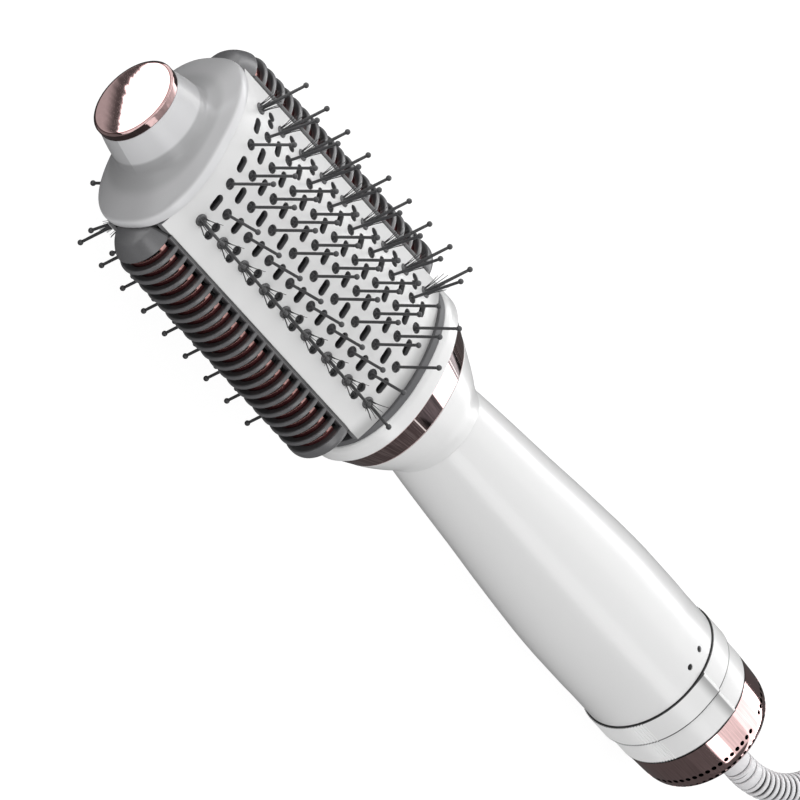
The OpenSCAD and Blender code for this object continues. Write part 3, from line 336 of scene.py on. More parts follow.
def banded(made, start, end):
    """Plated band: a painted glint over the crown that also glows by emission, fine streaks across it elsewhere,
    painted dark reflections beside the glint, thin painted highlight lines and painted light on its edges, dark where
    the glint is.
    """
    _, x, y, z = made.axes()
    angle = made.math("ARCTAN2", made.math("ABSOLUTE", z), y) * DEGREES
    lines = made.streaks(angle * 0.9, x * 0.05, 1.0, 5.0, 0.65)
    fine = lines.smooth(0.38, 0.62)
    streaks = made.blend(fine, [c * 0.62 for c in made.color], [min(1, c * 1.15) for c in made.color])
    # Painted dark reflection beside the glint.
    painted_dark_reflection = made.blend(fine, (0.03, 0.021, 0.022), (0.08, 0.057, 0.06))
    # Painted glint over the crown.
    glint = angle.within(74.2, 75.2, 103.6, 104.6)
    color = made.blend(glint, made.blend(angle.within(61, 63, 122, 129), streaks, painted_dark_reflection), made.color)
    # Thin painted highlight lines.
    painted_highlight_lines = angle.within(126.6, 127.0, 127.6, 128.0) + angle.within(71.0, 71.3, 71.9, 72.2)
    # Painted light on the edges, dark where the glint is.
    painted_edge_mask = 1 - x.smooth(start + 0.34, start + 0.44) + x.smooth(end - 0.42, end - 0.32)
    color = made.blend(painted_highlight_lines, color, (0.8, 0.7, 0.68))
    rim = made.blend(glint, (0.62, 0.44, 0.43), (0.2, 0.13, 0.13))
    made.feed("Base Color", made.blend(made.math("MINIMUM", painted_edge_mask, 1.0), color, rim))
    made.feed("Metallic", 1 - made.math("MINIMUM", painted_edge_mask + painted_highlight_lines, 1.0))
    # The painted glint glows by emission.
    made.feed("Emission Color", made.blend(glint, (0, 0, 0), (0.4, 0.39, 0.39)))
    made.grained(lines, made.roughness * 0.5, 0.003)
    return made.material


def capped(made, r, rim=0.5):
    """Polished cap: a bright face, a thin painted shade line at its edge and a rim painted darker as dark reflections.
    """
    spot, x, y, z = made.axes()
    out = made.far(y, z)
    cloud = made.noise(spot, 0.5, 3)
    # The rim is painted darker as dark reflections.
    painted_dark_rim = [c * rim for c in made.color]
    face = made.blend(cloud.smooth(0.3, 0.7), [c * 0.94 for c in made.color], made.color)
    side = made.blend(cloud.smooth(0.4, 0.6), painted_dark_rim, [c * 1.25 for c in painted_dark_rim])
    # Thin painted shade line where the face turns to the rim.
    line = out.within(r - 1.2, r - 1.1, r - 0.85, r - 0.75) * (1 - x.smooth(1.4, 1.6))
    whole = made.blend(out.smooth(r - 0.9, r - 0.8), face, side)
    made.feed("Base Color", made.blend(line, whole, (0.16, 0.09, 0.085)))
    made.rough_around(cloud, made.roughness * 0.4)
    made.bump(made.noise(spot, 0.9, 2), 0.002)
    return made.material


def shaded(made, light_and_shade_stops):
    """Moulded plastic with painted light and shade along the axis, a station and a brightness for each stop, and
    painted shade round most of its knob.
    """
    spot, x, y, z = made.axes()
    # Painted light and shade from stop to stop along the axis.
    color = [c * light_and_shade_stops[0][1] for c in made.color]
    for (near, _), (far, after) in zip(light_and_shade_stops, light_and_shade_stops[1:]):
        color = made.blend(x.smooth(near, far), color, [c * after for c in made.color])
    # Painted shade on the knob, all but the side that faces between +Z and -Y.
    knob_side_shade = 1 - made.math("ARCTAN2", z, y).smooth(0.9, 1.75)
    color = made.blend(knob_side_shade * (1 - x.smooth(X_CREASE - 6, X_CREASE)) * 0.3, color, (0.1, 0.1, 0.1))
    made.feed("Base Color", color)
    made.grained(made.noise(spot, 1.1, 3), 0.03, 0.005)
    return made.material


def brushed(made, across=(1, 0, 0), depth=0.004):
    """Brushed metal with its grain across one direction."""
    stretch = [6.0 if part else 0.25 for part in across]
    drawn = made.node("ShaderNodeVectorMath", {"operation": "MULTIPLY"}, [made.place(), stretch])[0]
    grain = made.noise(drawn, 1.0, 4)
    made.tint_around(grain, 0.08)
    made.grained(grain, 0.06, depth)
    return made.material


def woven(made, pitch):
    """A fine square mesh."""
    _, x, y, z = made.axes()
    reach = 24
    weft = made.math("SINE", made.math("ARCTAN2", z, y) * (2 * math.pi * reach / pitch))
    mask = (weft * made.math("SINE", x * (2 * math.pi / pitch))).smooth(-0.4, 0.4)
    made.tint(mask, [c * 0.4 for c in made.color], made.color)
    made.bump(mask, 0.05)
    return made.material


def wound(made, pitch):
    """Turns of wire round the axis."""
    x = made.axes()[1]
    turns = made.math("SINE", x * (2 * math.pi / pitch)) * 0.5 + 0.5
    made.tint(turns, [c * 0.25 for c in made.color], made.color)
    made.bump(turns, 0.3)
    return made.material


def printed(made):
    """A circuit board: tracks in a solder mask."""
    cells = made.node("ShaderNodeTexVoronoi", {"distance": "MANHATTAN", "feature": "F1"},
                      {"Vector": made.place(), "Scale": 0.45})["Distance"]
    tracks = made.math("SINE", cells * 22).smooth(0.5, 0.8)
    made.tint(tracks, made.color, [c * 2.2 for c in made.color])
    made.bump(tracks, 0.05)
    return made.material


FINISHES = {}


def finish(name):
    return FINISHES[name]


def make_finishes(look):
    """Every material, by the name of the piece's finish."""
    rose, white, dark = look.rose_gold, look.white, look.charcoal
    shell, ring, satin = (dict(Coat_Weight=w, Coat_Roughness=r) for w, r in ((0.4, 0.16), (0.3, 0.18), (0.3, 0.25)))
    plate_curve = 54.0, -32.4
    # Stations of painted shade lines at the rings' seams, on the edges that stay in view.
    ring_seam_shade_at = [X_HEAT + 0.06, X_SPEED - 0.38, X_CAP - 0.38]
    # Painted light and shade along the tip cap: a lit knob, painted shade in the crease and a painted highlight on the
    # flange's lip.
    tip_light_and_shade = [(X_KNOB, 1.2), (X_CREASE - 5.6, 1.16), (X_CREASE - 4.2, 0.7), (X_CREASE + 0.6, 0.64),
                 (X_CREASE + 1.8, 0.8), (X_FLANGE - 0.4, 0.79), (X_FLANGE + 1.0, 1.25)]
    FINISHES.update({
        "gloss_white": moulded(Finish("gloss white shell", white, look.gloss, **shell), 0.9, 0.004, 0.012),
        # A painted shade line where the handle meets the heat ring.
        "handle_white": seamed(Finish("gloss white handle", white, look.gloss, **shell), [X_HEAT], 0.2),
        "ring_white": seamed(Finish("rotary ring white", white, look.gloss + 0.04, **ring), ring_seam_shade_at, 0.27,
                             ridge=RIDGE_AT),
        "plate_white": pierced(Finish("pierced plate white", look.plate, 0.34, Coat_Weight=0.15, Coat_Roughness=0.2),
                               *plate_curve),
        "tip_grey": shaded(Finish("tip cap grey", look.grey, 0.36, Coat_Weight=0.2, Coat_Roughness=0.2), tip_light_and_shade),
        "seal_grey": moulded(Finish("seal grey", look.seal, 0.5), 2.2, 0.02, 0.05),
        # Emission lights the band's painted glint.
        "rose_band": banded(Finish("rose gold neck band", rose, 0.07, 1.0, Emission_Strength=1.0), X_BAND, X_SHOULDER),
        "rose_disc": capped(Finish("polished rose gold cap", rose, 0.06, 1.0), 15.2, 0.3),
        "rose_bowl": turned(Finish("pierced rose gold", rose, 0.07, 1.0)),
        "rose_liner": painted_slit_highlights(Finish("rose gold liner", look.liner, 0.38, 0.7), ROLL_FIRST, 5.05),
        "pin_dark": moulded(Finish("pin charcoal", dark, 0.4), 3.0, 0.008, 0.06),
        "strand": tufted(Finish("strand nylon", look.strand, 0.34), *plate_curve, (0.16, 0.16, 0.165)),
        # The last colour is the painted shade deep in the slots.
        "roll_dark": ribbed(Finish("side roll charcoal", look.roll, 0.36, **satin), ROLL_CENTRE, 12.0,
                            X_HEAD0 + 5.75, X_HEAD0 + 105.2, (0.04, 0.04, 0.042)),
        "lens": moulded(Finish("lamp lens", (0.008, 0.008, 0.009), 0.4, Specular_IOR_Level=0.18), 2.0, 0.002, 0.1),
        "relief": moulded(Finish("cord grey", look.cord, 0.38, Coat_Weight=0.1, Coat_Roughness=0.3), 2.0, 0.01, 0.03),
        "sleeve": sleeved(Finish("strain relief grey", [c * 1.5 for c in look.cord], 0.4),
                          RELIEF_START, RELIEF_STRAIGHT, 41.5, 4.3),
        "tie": moulded(Finish("tie nylon", (0.02, 0.02, 0.022), 0.45), 2.5, 0.02, 0.1),
        "nickel": brushed(Finish("nickel", (0.72, 0.7, 0.66), 0.16, 1.0), (1, 0, 0), 0.002),
        "steel": brushed(Finish("steel", (0.55, 0.55, 0.56), 0.3, 1.0)),
        "brass": brushed(Finish("contact brass", (0.78, 0.6, 0.3), 0.28, 1.0), (0, 1, 0)),
        "inner": moulded(Finish("inner black plastic", (0.03, 0.03, 0.033), 0.55), 2.5, 0.03, 0.1),
        "mica": moulded(Finish("mica card", (0.62, 0.55, 0.4), 0.5), 3.0, 0.06, 0.2),
        "winding": wound(Finish("heater wire", (0.42, 0.32, 0.25), 0.4, 1.0), 1.4),
        "mesh": woven(Finish("filter mesh", (0.02, 0.02, 0.022), 0.6), 0.9),
        "board": printed(Finish("board green", (0.02, 0.12, 0.05), 0.35)),
        "wire_skin": moulded(Finish("lead insulation", (0.03, 0.03, 0.2), 0.4), 3.0, 0.01, 0.1),
    })


# ---------------------------------------------------------------- mesh helpers

def circle(r, m=ROUND):
    return oval(r, r, 2.0, m)


def oval(a, b, n, m=ROUND):
    """Points of an oval from its half width, half height and squareness."""
    return [(a * math.copysign(abs(math.cos(t)) ** (2 / n), math.cos(t)),
             b * math.copysign(abs(math.sin(t)) ** (2 / n), math.sin(t)))
            for t in (2 * math.pi * k / m for k in range(m))]


def rounded(corners, closed=False, steps=6):
    """A path whose corners are rounded. The last value of each corner is how far from it the rounding starts."""
    spots = [np.array(c[:-1], float) for c in corners]
    path = []
    for i, (spot, corner) in enumerate(zip(spots, corners)):
        inner = closed or 0 < i < len(spots) - 1
        if corner[-1] <= 0 or not inner:
            path.append(spot)
            continue
        before, after = spots[i - 1] - spot, spots[(i + 1) % len(spots)] - spot
        reach_b, reach_a = (max(1e-9, float(np.linalg.norm(v[:3]))) for v in (before, after))
        start = spot + before * min(corner[-1], reach_b * 0.49) / reach_b
        end = spot + after * min(corner[-1], reach_a * 0.49) / reach_a
        path += [(1 - t) ** 2 * start + 2 * t * (1 - t) * spot + t * t * end
                 for t in (k / steps for k in range(steps + 1))]
    return path


def hermite(a, b, way_a, way_b, t):
    """A share of the way along a smooth line between two spots, by the way it runs at each."""
    return (a * (2 * t ** 3 - 3 * t ** 2 + 1) + way_a * (t ** 3 - 2 * t ** 2 + t)
            + b * (3 * t ** 2 - 2 * t ** 3) + way_b * (t ** 3 - t ** 2))


def bowed(keys, count):
    """Values along a smooth curve through keys of (place, values...), flat wherever a value turns back."""
    keys = np.array(keys, float)
    x, v = keys[:, 0], keys[:, 1:]
    slope = np.diff(v, axis=0) / np.diff(x)[:, None]
    tangent = np.vstack([slope[:1], (slope[:-1] + slope[1:]) / 2, slope[-1:]])
    tangent[1:-1][slope[:-1] * slope[1:] <= 0] = 0
    out = []
    for at in np.linspace(x[0], x[-1], count):
        i = min(len(x) - 2, max(0, int(np.searchsorted(x, at, side="right")) - 1))
        h = x[i + 1] - x[i]
        out.append((at, *hermite(v[i], v[i + 1], tangent[i] * h, tangent[i + 1] * h, (at - x[i]) / h)))
    return out


def skin(rings, closed=False, caps=False):
    """A surface through rings of points. closed joins the last ring to the first, and caps closes both ends."""
    bm = bmesh.new()
    rows = [[bm.verts.new(tuple(float(v) for v in p)) for p in ring] for ring in rings]
    for a, b in zip(rows, rows[1:] + (rows[:1] if closed else [])):
        for k in range(len(a)):
            bm.faces.new((a[k], a[(k + 1) % len(a)], b[(k + 1) % len(a)], b[k]))
    if caps:
        bm.faces.new(rows[0][::-1])
        bm.faces.new(rows[-1])
    bmesh.ops.remove_doubles(bm, verts=bm.verts, dist=1e-4)
    bmesh.ops.recalc_face_normals(bm, faces=bm.faces)
    return bm


def lathe(path, m=ROUND, closed=False):
    """A surface turned round the axis from a path of x and radius."""
    return skin([[(p[0], u, v) for u, v in circle(max(p[1], 0), m)] for p in path], closed)


def loft(path, m=ROUND, closed=False):
    """A surface through ovals: each is x, half width, half height and squareness."""
    return skin([[(p[0], u, v) for u, v in oval(max(p[1], 0), max(p[2], 0), p[3], m)] for p in path], closed)


def hoop(path):
    """A closed ring round the axis from corners of x, half width, half height, squareness and rounding."""
    return loft(rounded(path, True), closed=True)


def lathe_up(path, m=16):
    """A surface turned round Z from a path of height, radius and rounding."""
    return skin([[(u, v, p[0]) for u, v in circle(max(p[1], 0), m)] for p in rounded(path, steps=3)])


def joined(*parts):
    """Several closed shells as one mesh."""
    whole = bmesh.new()
    for part in parts:
        mesh = bpy.data.meshes.new("part")
        part.to_mesh(mesh)
        part.free()
        whole.from_mesh(mesh)
        bpy.data.meshes.remove(mesh)
    return whole


def block(low, high, round_by=0.0):
    """A box between two corners, with its edges rounded."""
    bm = bmesh.new()
    bmesh.ops.create_cube(bm, size=1)
    size, middle = Vector(high) - Vector(low), (Vector(high) + Vector(low)) / 2
    bmesh.ops.transform(bm, matrix=Matrix.Translation(middle) @ Matrix.Diagonal((*size, 1)), verts=bm.verts)
    if round_by:
        bmesh.ops.bevel(bm, geom=bm.edges[:], offset=round_by, segments=3, profile=0.5, affect="EDGES")
    return bm


def raw(name, bm, place=LAY @ SCALE):
    """An object from a mesh in millimetres on the styler's axes, or on another place."""
    mesh = bpy.data.meshes.new(name)
    bm.to_mesh(mesh)
    bm.free()
    mesh.transform(place)
    obj = bpy.data.objects.new(name, mesh)
    bpy.context.scene.collection.objects.link(obj)
    return obj


def dress(obj, material, body, replaced=(), sharp=38):
    """Gives a finished piece its shading, material and body, and hides the solids it replaces."""
    mesh = obj.data
    mesh.materials.clear()
    mesh.materials.append(material)
    mesh.polygons.foreach_set("material_index", [0] * len(mesh.polygons))
    mesh.polygons.foreach_set("use_smooth", [True] * len(mesh.polygons))
    mesh.set_sharp_from_angle(angle=math.radians(sharp))
    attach(obj, body)
    if replaced:
        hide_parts(*replaced)
    return obj


def piece(name, bm, material, body, replaced=(), sharp=38, place=LAY @ SCALE):
    """A dressed piece straight from its mesh."""
    return dress(raw(name, bm, place), finish(material), body, replaced, sharp)


def settle(obj):
    """Turns what an object's modifiers make into its own plain mesh."""
    shape = obj.evaluated_get(bpy.context.evaluated_depsgraph_get())
    mesh = bpy.data.meshes.new_from_object(shape)
    obj.modifiers.clear()
    obj.data = mesh
    return obj


class Growth(Tree):
    """A geometry node tree with named inputs."""

    def __init__(self, name, inputs):
        super().__init__(bpy.data.node_groups.new(name, "GeometryNodeTree"))
        face = self.tree.interface
        face.new_socket(name="Geometry", in_out="INPUT", socket_type="NodeSocketGeometry")
        self.keys = {}
        for label, kind, default in inputs:
            socket = face.new_socket(name=label, in_out="INPUT", socket_type="NodeSocket" + kind)
            if default is not None:
                socket.default_value = default
            self.keys[label] = socket.identifier
        face.new_socket(name="Geometry", in_out="OUTPUT", socket_type="NodeSocketGeometry")
        self.given = self.node("NodeGroupInput")

    def end(self, geometry):
        real = self.node("GeometryNodeRealizeInstances", None, [geometry])[0]
        done = self.node("GeometryNodeSetMaterial", None, {"Geometry": real, "Material": self.given["Material"]})[0]
        self.node("NodeGroupOutput", None, [done])
        return self

    def join(self, *parts):
        made = self.node("GeometryNodeJoinGeometry")
        for part in reversed(parts):
            self.tree.links.new(part.socket, made.node.inputs[0])
        return made[0]

    def part(self, label):
        return self.node("GeometryNodeObjectInfo", {"transform_space": "ORIGINAL"},
                         {"Object": self.given[label], "As Instance": False})["Geometry"]

    def copies(self, points, instance, **more):
        return self.node("GeometryNodeInstanceOnPoints", None, {"Points": points, "Instance": instance, **more})[0]

    def line(self, count, start, step):
        return self.node("GeometryNodeMeshLine", {"mode": "OFFSET"},
                         {"Count": count, "Start Location": start, "Offset": step})[0]

    def place(self):
        return self.split(self.node("GeometryNodeInputPosition")[0])

    def moved(self, geometry, place):
        return self.node("GeometryNodeSetPosition", None, {"Geometry": geometry, "Position": place})[0]

    def welded(self, geometry, distance):
        return self.node("GeometryNodeMergeByDistance", None, {"Geometry": geometry, "Distance": distance})[0]

    def held(self, name, kind):
        return self.node("GeometryNodeInputNamedAttribute", {"data_type": kind}, {"Name": name})[0]

    def upright(self):
        """The rotation that turns Z to each point's way vector."""
        return self.node("FunctionNodeAlignRotationToVector", {"axis": "Z"},
                         {"Vector": self.held("way", "FLOAT_VECTOR")})[0]

    def compare(self, a, operation, b):
        return self.node("FunctionNodeCompare", {"data_type": "FLOAT", "operation": operation}, [a, b])[0]

    def chance(self, low, high, index, seed):
        return self.node("FunctionNodeRandomValue", {"data_type": "FLOAT"},
                         {2: low, 3: high, "ID": index, "Seed": seed})[1]

    def grow(self, obj, **values):
        live = obj.modifiers.new("growth", "NODES")
        live.node_group = self.tree
        for label, value in values.items():
            live[self.keys[label.replace("_", " ")]] = value
        return settle(obj)


def repeat_tree():
    """Copies a part along a straight line and joins the copies to the piece."""
    tree = Growth("repeat along a line", [("Part", "Object", None), ("Count", "Int", 10),
                                          ("First", "Vector", (0, 0, 0)), ("Step", "Vector", (1, 0, 0)),
                                          ("Material", "Material", None)])
    given = tree.given
    copies = tree.copies(tree.line(given["Count"], given["First"], given["Step"]), tree.part("Part"))
    return tree.end(tree.join(given["Geometry"], copies))


def tuft_tree():
    """Stands a pin and a spray of fine strands on each point of the piece, along its way vector."""
    tree = Growth("pins and strands", [("Pin", "Object", None), ("Strands", "Int", 12), ("Ring", "Float", 0.9),
                                       ("Length", "Float", 9.0), ("Radius", "Float", 0.15), ("Splay", "Float", 0.45),
                                       ("Bend", "Float", 0.6), ("Seed", "Int", 7), ("Material", "Material", None)])
    given = tree.given
    cone = tree.node("GeometryNodeMeshCone", {"fill_type": "NGON"}, {
        "Vertices": 5, "Side Segments": 5, "Radius Top": given["Radius"] * 0.45,
        "Radius Bottom": given["Radius"], "Depth": given["Length"]})[0]
    x, y, z = tree.place()
    share = z / given["Length"]
    strand = tree.moved(cone, tree.vector(x + share * share * given["Bend"], y, z))
    ring = tree.node("GeometryNodeMeshCircle", None, {"Vertices": given["Strands"], "Radius": given["Ring"]})[0]
    index = tree.node("GeometryNodeInputIndex")[0]
    lean = given["Splay"] + tree.chance(-0.13, 0.1, index, given["Seed"])
    turn = index * (2 * math.pi) / given["Strands"]
    spray = tree.copies(ring, strand, Rotation=tree.vector(0.0, lean, turn),
                        Scale=tree.chance(0.78, 1.05, index, given["Seed"] + 1))
    tuft = tree.join(tree.part("Pin"), spray)
    return tree.end(tree.copies(given["Geometry"], tuft, Rotation=tree.upright()))


def bowl_tree():
    """Wraps flat pierced cells round the axis along a profile curve.

    Flat X is the distance along the profile and flat Y the angle round the axis in degrees."""
    tree = Growth("pierced bowl", [("Pierced", "Object", None), ("Solid", "Object", None), ("Profile", "Object", None),
                                   ("Cells", "Int", 60), ("Row 1", "Float", 0.0), ("Row 2", "Float", 0.0),
                                   ("Gap at", "Float", 88.0), ("Gap half", "Float", 7.0),
                                   ("Material", "Material", None)])
    given = tree.given
    step = 360.0 / given["Cells"]
    rows = [given["Geometry"]]
    for row, offset in (("Row 1", 0.0), ("Row 2", 0.5)):
        line = tree.line(given["Cells"], tree.vector(given[row], step * offset), tree.vector(0.0, step))
        far = tree.math("ABSOLUTE", tree.place()[1] - given["Gap at"])
        for label, operation in (("Pierced", "GREATER_THAN"), ("Solid", "LESS_EQUAL")):
            rows.append(tree.copies(line, tree.part(label), Selection=tree.compare(far, operation, given["Gap half"])))
    flat = tree.node("GeometryNodeRealizeInstances", None, [tree.join(*rows)])[0]
    along, angle, _ = tree.place()
    x, r, _ = tree.split(tree.node("GeometryNodeSampleCurve", {"mode": "LENGTH", "use_all_curves": False}, {
        "Curves": tree.part("Profile"), "Length": along})["Position"])
    turn = angle / DEGREES
    bowl = tree.moved(flat, tree.vector(x, r * tree.math("COSINE", turn), r * tree.math("SINE", turn)))
    return tree.end(tree.welded(bowl, 0.02))


def path_tree():
    """Stands copies of a ring on the points of the piece, each along its way vector and at its own size."""
    tree = Growth("rings on a path", [("Ring", "Object", None), ("Material", "Material", None)])
    size = tree.held("size", "FLOAT")
    return tree.end(tree.copies(tree.given["Geometry"], tree.part("Ring"), Rotation=tree.upright(),
                                Scale=tree.vector(size, size, 1.0)))


def soften_tree():
    """Joins a solid's loose triangles and shades it smooth but for its sharp edges."""
    tree = Growth("soft shading", [("Angle", "Float", SOFT_ANGLE), ("Material", "Material", None)])
    soft = tree.compare(tree.node("GeometryNodeInputMeshEdgeAngle")[0], "LESS_THAN", tree.given["Angle"])
    shape = tree.welded(tree.given["Geometry"], 1e-6)
    for domain, smooth in (("FACE", True), ("EDGE", soft)):
        shape = tree.node("GeometryNodeSetShadeSmooth", {"domain": domain},
                          {"Geometry": shape, "Shade Smooth": smooth})[0]
    return tree.end(shape)


def soften_node(node, material):
    """Keeps a solid's own shape: its look comes from live shading and its material."""
    obj = frame["nodes"][node]
    obj.data.materials.clear()
    obj.data.materials.append(finish(material))
    live = obj.modifiers.new("soft shading", "NODES")
    live.node_group = bpy.data.node_groups["soft shading"]
    keys = {item.name: item.identifier for item in live.node_group.interface.items_tree if item.in_out == "INPUT"}
    live[keys["Angle"]], live[keys["Material"]] = SOFT_ANGLE, finish(material)


def marks(name, spots, ways, sizes=None):
    """An object of loose points, each with a way vector and a size."""
    mesh = bpy.data.meshes.new(name)
    mesh.from_pydata([tuple(s) for s in spots], [], [])
    way = mesh.attributes.new("way", "FLOAT_VECTOR", "POINT")
    way.data.foreach_set("vector", [v for w in ways for v in w])
    size = mesh.attributes.new("size", "FLOAT", "POINT")
    size.data.foreach_set("value", sizes or [1.0] * len(spots))
    obj = bpy.data.objects.new(name, mesh)
    bpy.context.scene.collection.objects.link(obj)
    return obj


def drop(*objects):
    """Removes helper objects and their data."""
    for obj in objects:
        data = obj.data
        bpy.data.objects.remove(obj)
        (bpy.data.curves if isinstance(data, bpy.types.Curve) else bpy.data.meshes).remove(data)


# ---------------------------------------------------------------- sizes and colours

def length(name, text, value):
    return FloatProperty(name=name, description=text, default=value * MM, unit="LENGTH", precision=4)


def shade(name, text, value):
    return FloatVectorProperty(name=name, description=text, default=value, size=3, min=0, max=1, subtype="COLOR")


class StylerHead(bpy.types.PropertyGroup):
    """Sizes of the tip, the plates' tufts and the side rolls."""
    disc_radius: length("Disc radius", "Radius of the metal disc on the tip", 15.2)
    knob_flare: length("Knob flare", "Radius that the knob gains along its length", 2.3)
    flange_width: length("Flange half width", "Half width of the tip cap's flange", 33.0)
    flange_height: length("Flange half height", "Half height of the tip cap's flange", 23.0)
    plate_radius: length("Plate radius", "Radius of the curve of the plates", 54.0)
    crown: length("Crown", "Height of the plates' crown above the centre", 21.6)
    tuft_column: length("Tuft column", "Distance of the tufted columns from the middle", 22.2)
    first_row: length("First row", "First row of pins from the front end of the head", 9.35)
    row_pitch: length("Row pitch", "Distance between rows of pins", 12.1)
    rows: IntProperty(name="Rows", description="Tufts in each column", default=9, min=1, max=9)
    lean: FloatProperty(name="Lean", description="Outward lean of the tufts", default=math.radians(32.8),
                        subtype="ANGLE")
    strands: IntProperty(name="Strands", description="Fine strands in each tuft", default=10, min=3, max=24)
    roll_radius: length("Roll radius", "Radius of the side rolls", 12.0)
    roll_pitch: length("Roll pitch", "Distance between the slots of a roll", 5.05)
    roll_slots: IntProperty(name="Roll slots", description="Slots in each side roll", default=20, min=2, max=20)


class StylerHandle(bpy.types.PropertyGroup):
    """Sizes of the neck, the handle, its rings and the inlet cap."""
    collar_width: length("Collar half width", "Half width of the white collar", 34.2)
    collar_height: length("Collar half height", "Half height of the white collar", 24.6)
    neck_radius: length("Neck radius", "Radius of the handle at the neck", 18.5)
    tail_radius: length("Tail radius", "Radius of the handle at the tail", 25.2)
    ring_bore: length("Ring bore", "Radius inside the rotary rings", 21.95)
    ridge: length("Ridge", "Height of the index ridge on each ring", 0.7)
    cap_radius: length("Cap radius", "Radius of the inlet cap beside the rings", 24.9)
    cap_wall: length("Cap wall", "Wall of the inlet cap", 1.3)
    holes: IntProperty(name="Air holes", description="Places for air holes in each row", default=60, min=30, max=66)
    hole_radius: length("Hole radius", "Radius of an air hole", 0.9)


class StylerCord(bpy.types.PropertyGroup):
    """Sizes of the strain relief, the cord and its plug."""
    diameter: length("Cord diameter", "Outer diameter of the cord", 6.5)
    relief_radius: length("Relief radius", "Radius of the strain relief", 5.5)
    relief_bend: length("Relief bend", "Radius of the strain relief's bend", 41.5)
    ribs: IntProperty(name="Ribs", description="Ribs round the relief's bend", default=11, min=1, max=11)
    coil_turns: FloatProperty(name="Coil turns", description="Turns in each of the coil's two layers", default=3.5)


class StylerLook(bpy.types.PropertyGroup):
    """Colours and gloss."""
    white: shade("White", "Glossy shells and rings", (0.8, 0.8, 0.8))
    plate: shade("Plate", "Pierced plates", (0.76, 0.76, 0.76))
    grey: shade("Tip grey", "Knob and flange of the tip cap", (0.56, 0.56, 0.57))
    seal: shade("Seal", "Seal between the head and its collar", (0.115, 0.115, 0.12))
    rose_gold: shade("Rose gold", "Polished plating", (0.95, 0.66, 0.65))
    liner: shade("Liner", "Metal inside the side rolls", (0.85, 0.48, 0.44))
    charcoal: shade("Charcoal", "Pins and their carriers", (0.05, 0.05, 0.053))
    strand: shade("Strands", "Tufts and their pins", (0.045, 0.045, 0.047))
    roll: shade("Roll", "Side rolls", (0.14, 0.14, 0.145))
    cord: shade("Cord", "Cord, strain relief and plug", (0.52, 0.52, 0.53))
    gloss: FloatProperty(name="Gloss", description="Roughness of the glossy shells", default=0.3, min=0, max=1)
    key: FloatProperty(name="Key", description="Power of the main softbox in watts", default=10.0)
    fill: FloatProperty(name="Fill", description="Strength of the room's light", default=0.7)


# ---------------------------------------------------------------- pieces

class STYLER_OT_tip(bpy.types.Operator):
    """Polished disc and the light grey knob and flange behind it"""
    bl_idname = "styler.tip"
    bl_label = "Tip"

    def execute(self, context):
        head = context.scene.styler_head
        r, flare = head.disc_radius / MM, head.knob_flare / MM
        a, b = head.flange_width / MM, head.flange_height / MM
        knob = r + flare
        face = [(0.55 * (k / 12) ** 2, (r - 1.1) * k / 12, 0) for k in range(13)]
        face[-1] = (face[-1][0], face[-1][1], 0.5)
        disc = rounded(face + [(1.0, r, 0.35), (X_KNOB, r, 0.25), (X_KNOB, r - 2, 0), (X_KNOB, 0, 0)])
        piece("disc", lathe(disc), "rose_disc", "styler", ["tip_disc"])
        outer = [(X_KNOB + 0.05, r - 3, r - 3, 2, 0), (X_KNOB + 0.05, r, r, 2, 0.3)]
        outer += [(x, w, h, n, 0) for x, w, h, n in bowed([
            (X_KNOB + 0.4, r, r, 2), (X_KNOB + 6.5, r + flare * 0.62, r + flare * 0.62, 2),
            (X_CREASE - 3.4, knob + 0.05, knob - 0.1, 2), (X_CREASE - 0.9, knob + 0.9, knob + 0.25, 2.02),
            (X_CREASE + 0.1, knob + 2.6, knob + 0.9, 2.12), (X_CREASE + 1.0, knob + 5.6, knob + 1.9, 2.25),
            (X_FLANGE - 0.7, a - 1.9, b - 1.5, 2.48)], 40)]
        outer += [(X_FLANGE, a - 0.45, b - 0.45, 2.5, 0.8), (X_FLANGE + 1.7, a, b, 2.5, 1.4),
                  (X_HEAD0, a - 0.4, b - 0.4, 2.5, 0.5), (X_HEAD0, a - 2.1, b - 2.1, 2.5, 0.3),
                  (X_FLANGE + 2.1, a - 2.7, b - 2.7, 2.5, 0.4), (X_CREASE + 2.7, knob + 1, knob - 1, 2.2, 0.5),
                  (X_CREASE + 0.6, knob - 2.1, knob - 2.1, 2, 0.5), (X_KNOB + 7.3, r - 1.5, r - 1.5, 2, 0.4),
                  (X_KNOB + 7.3, 0, 0, 2, 0)]
        inner_lid = [(X_KNOB + 0.05, 0, 0, 2, 0)]
        piece("knob_cap", loft(rounded(inner_lid + outer)), "tip_grey", "styler", ["tip_cap"], 50)
        return {"FINISHED"}


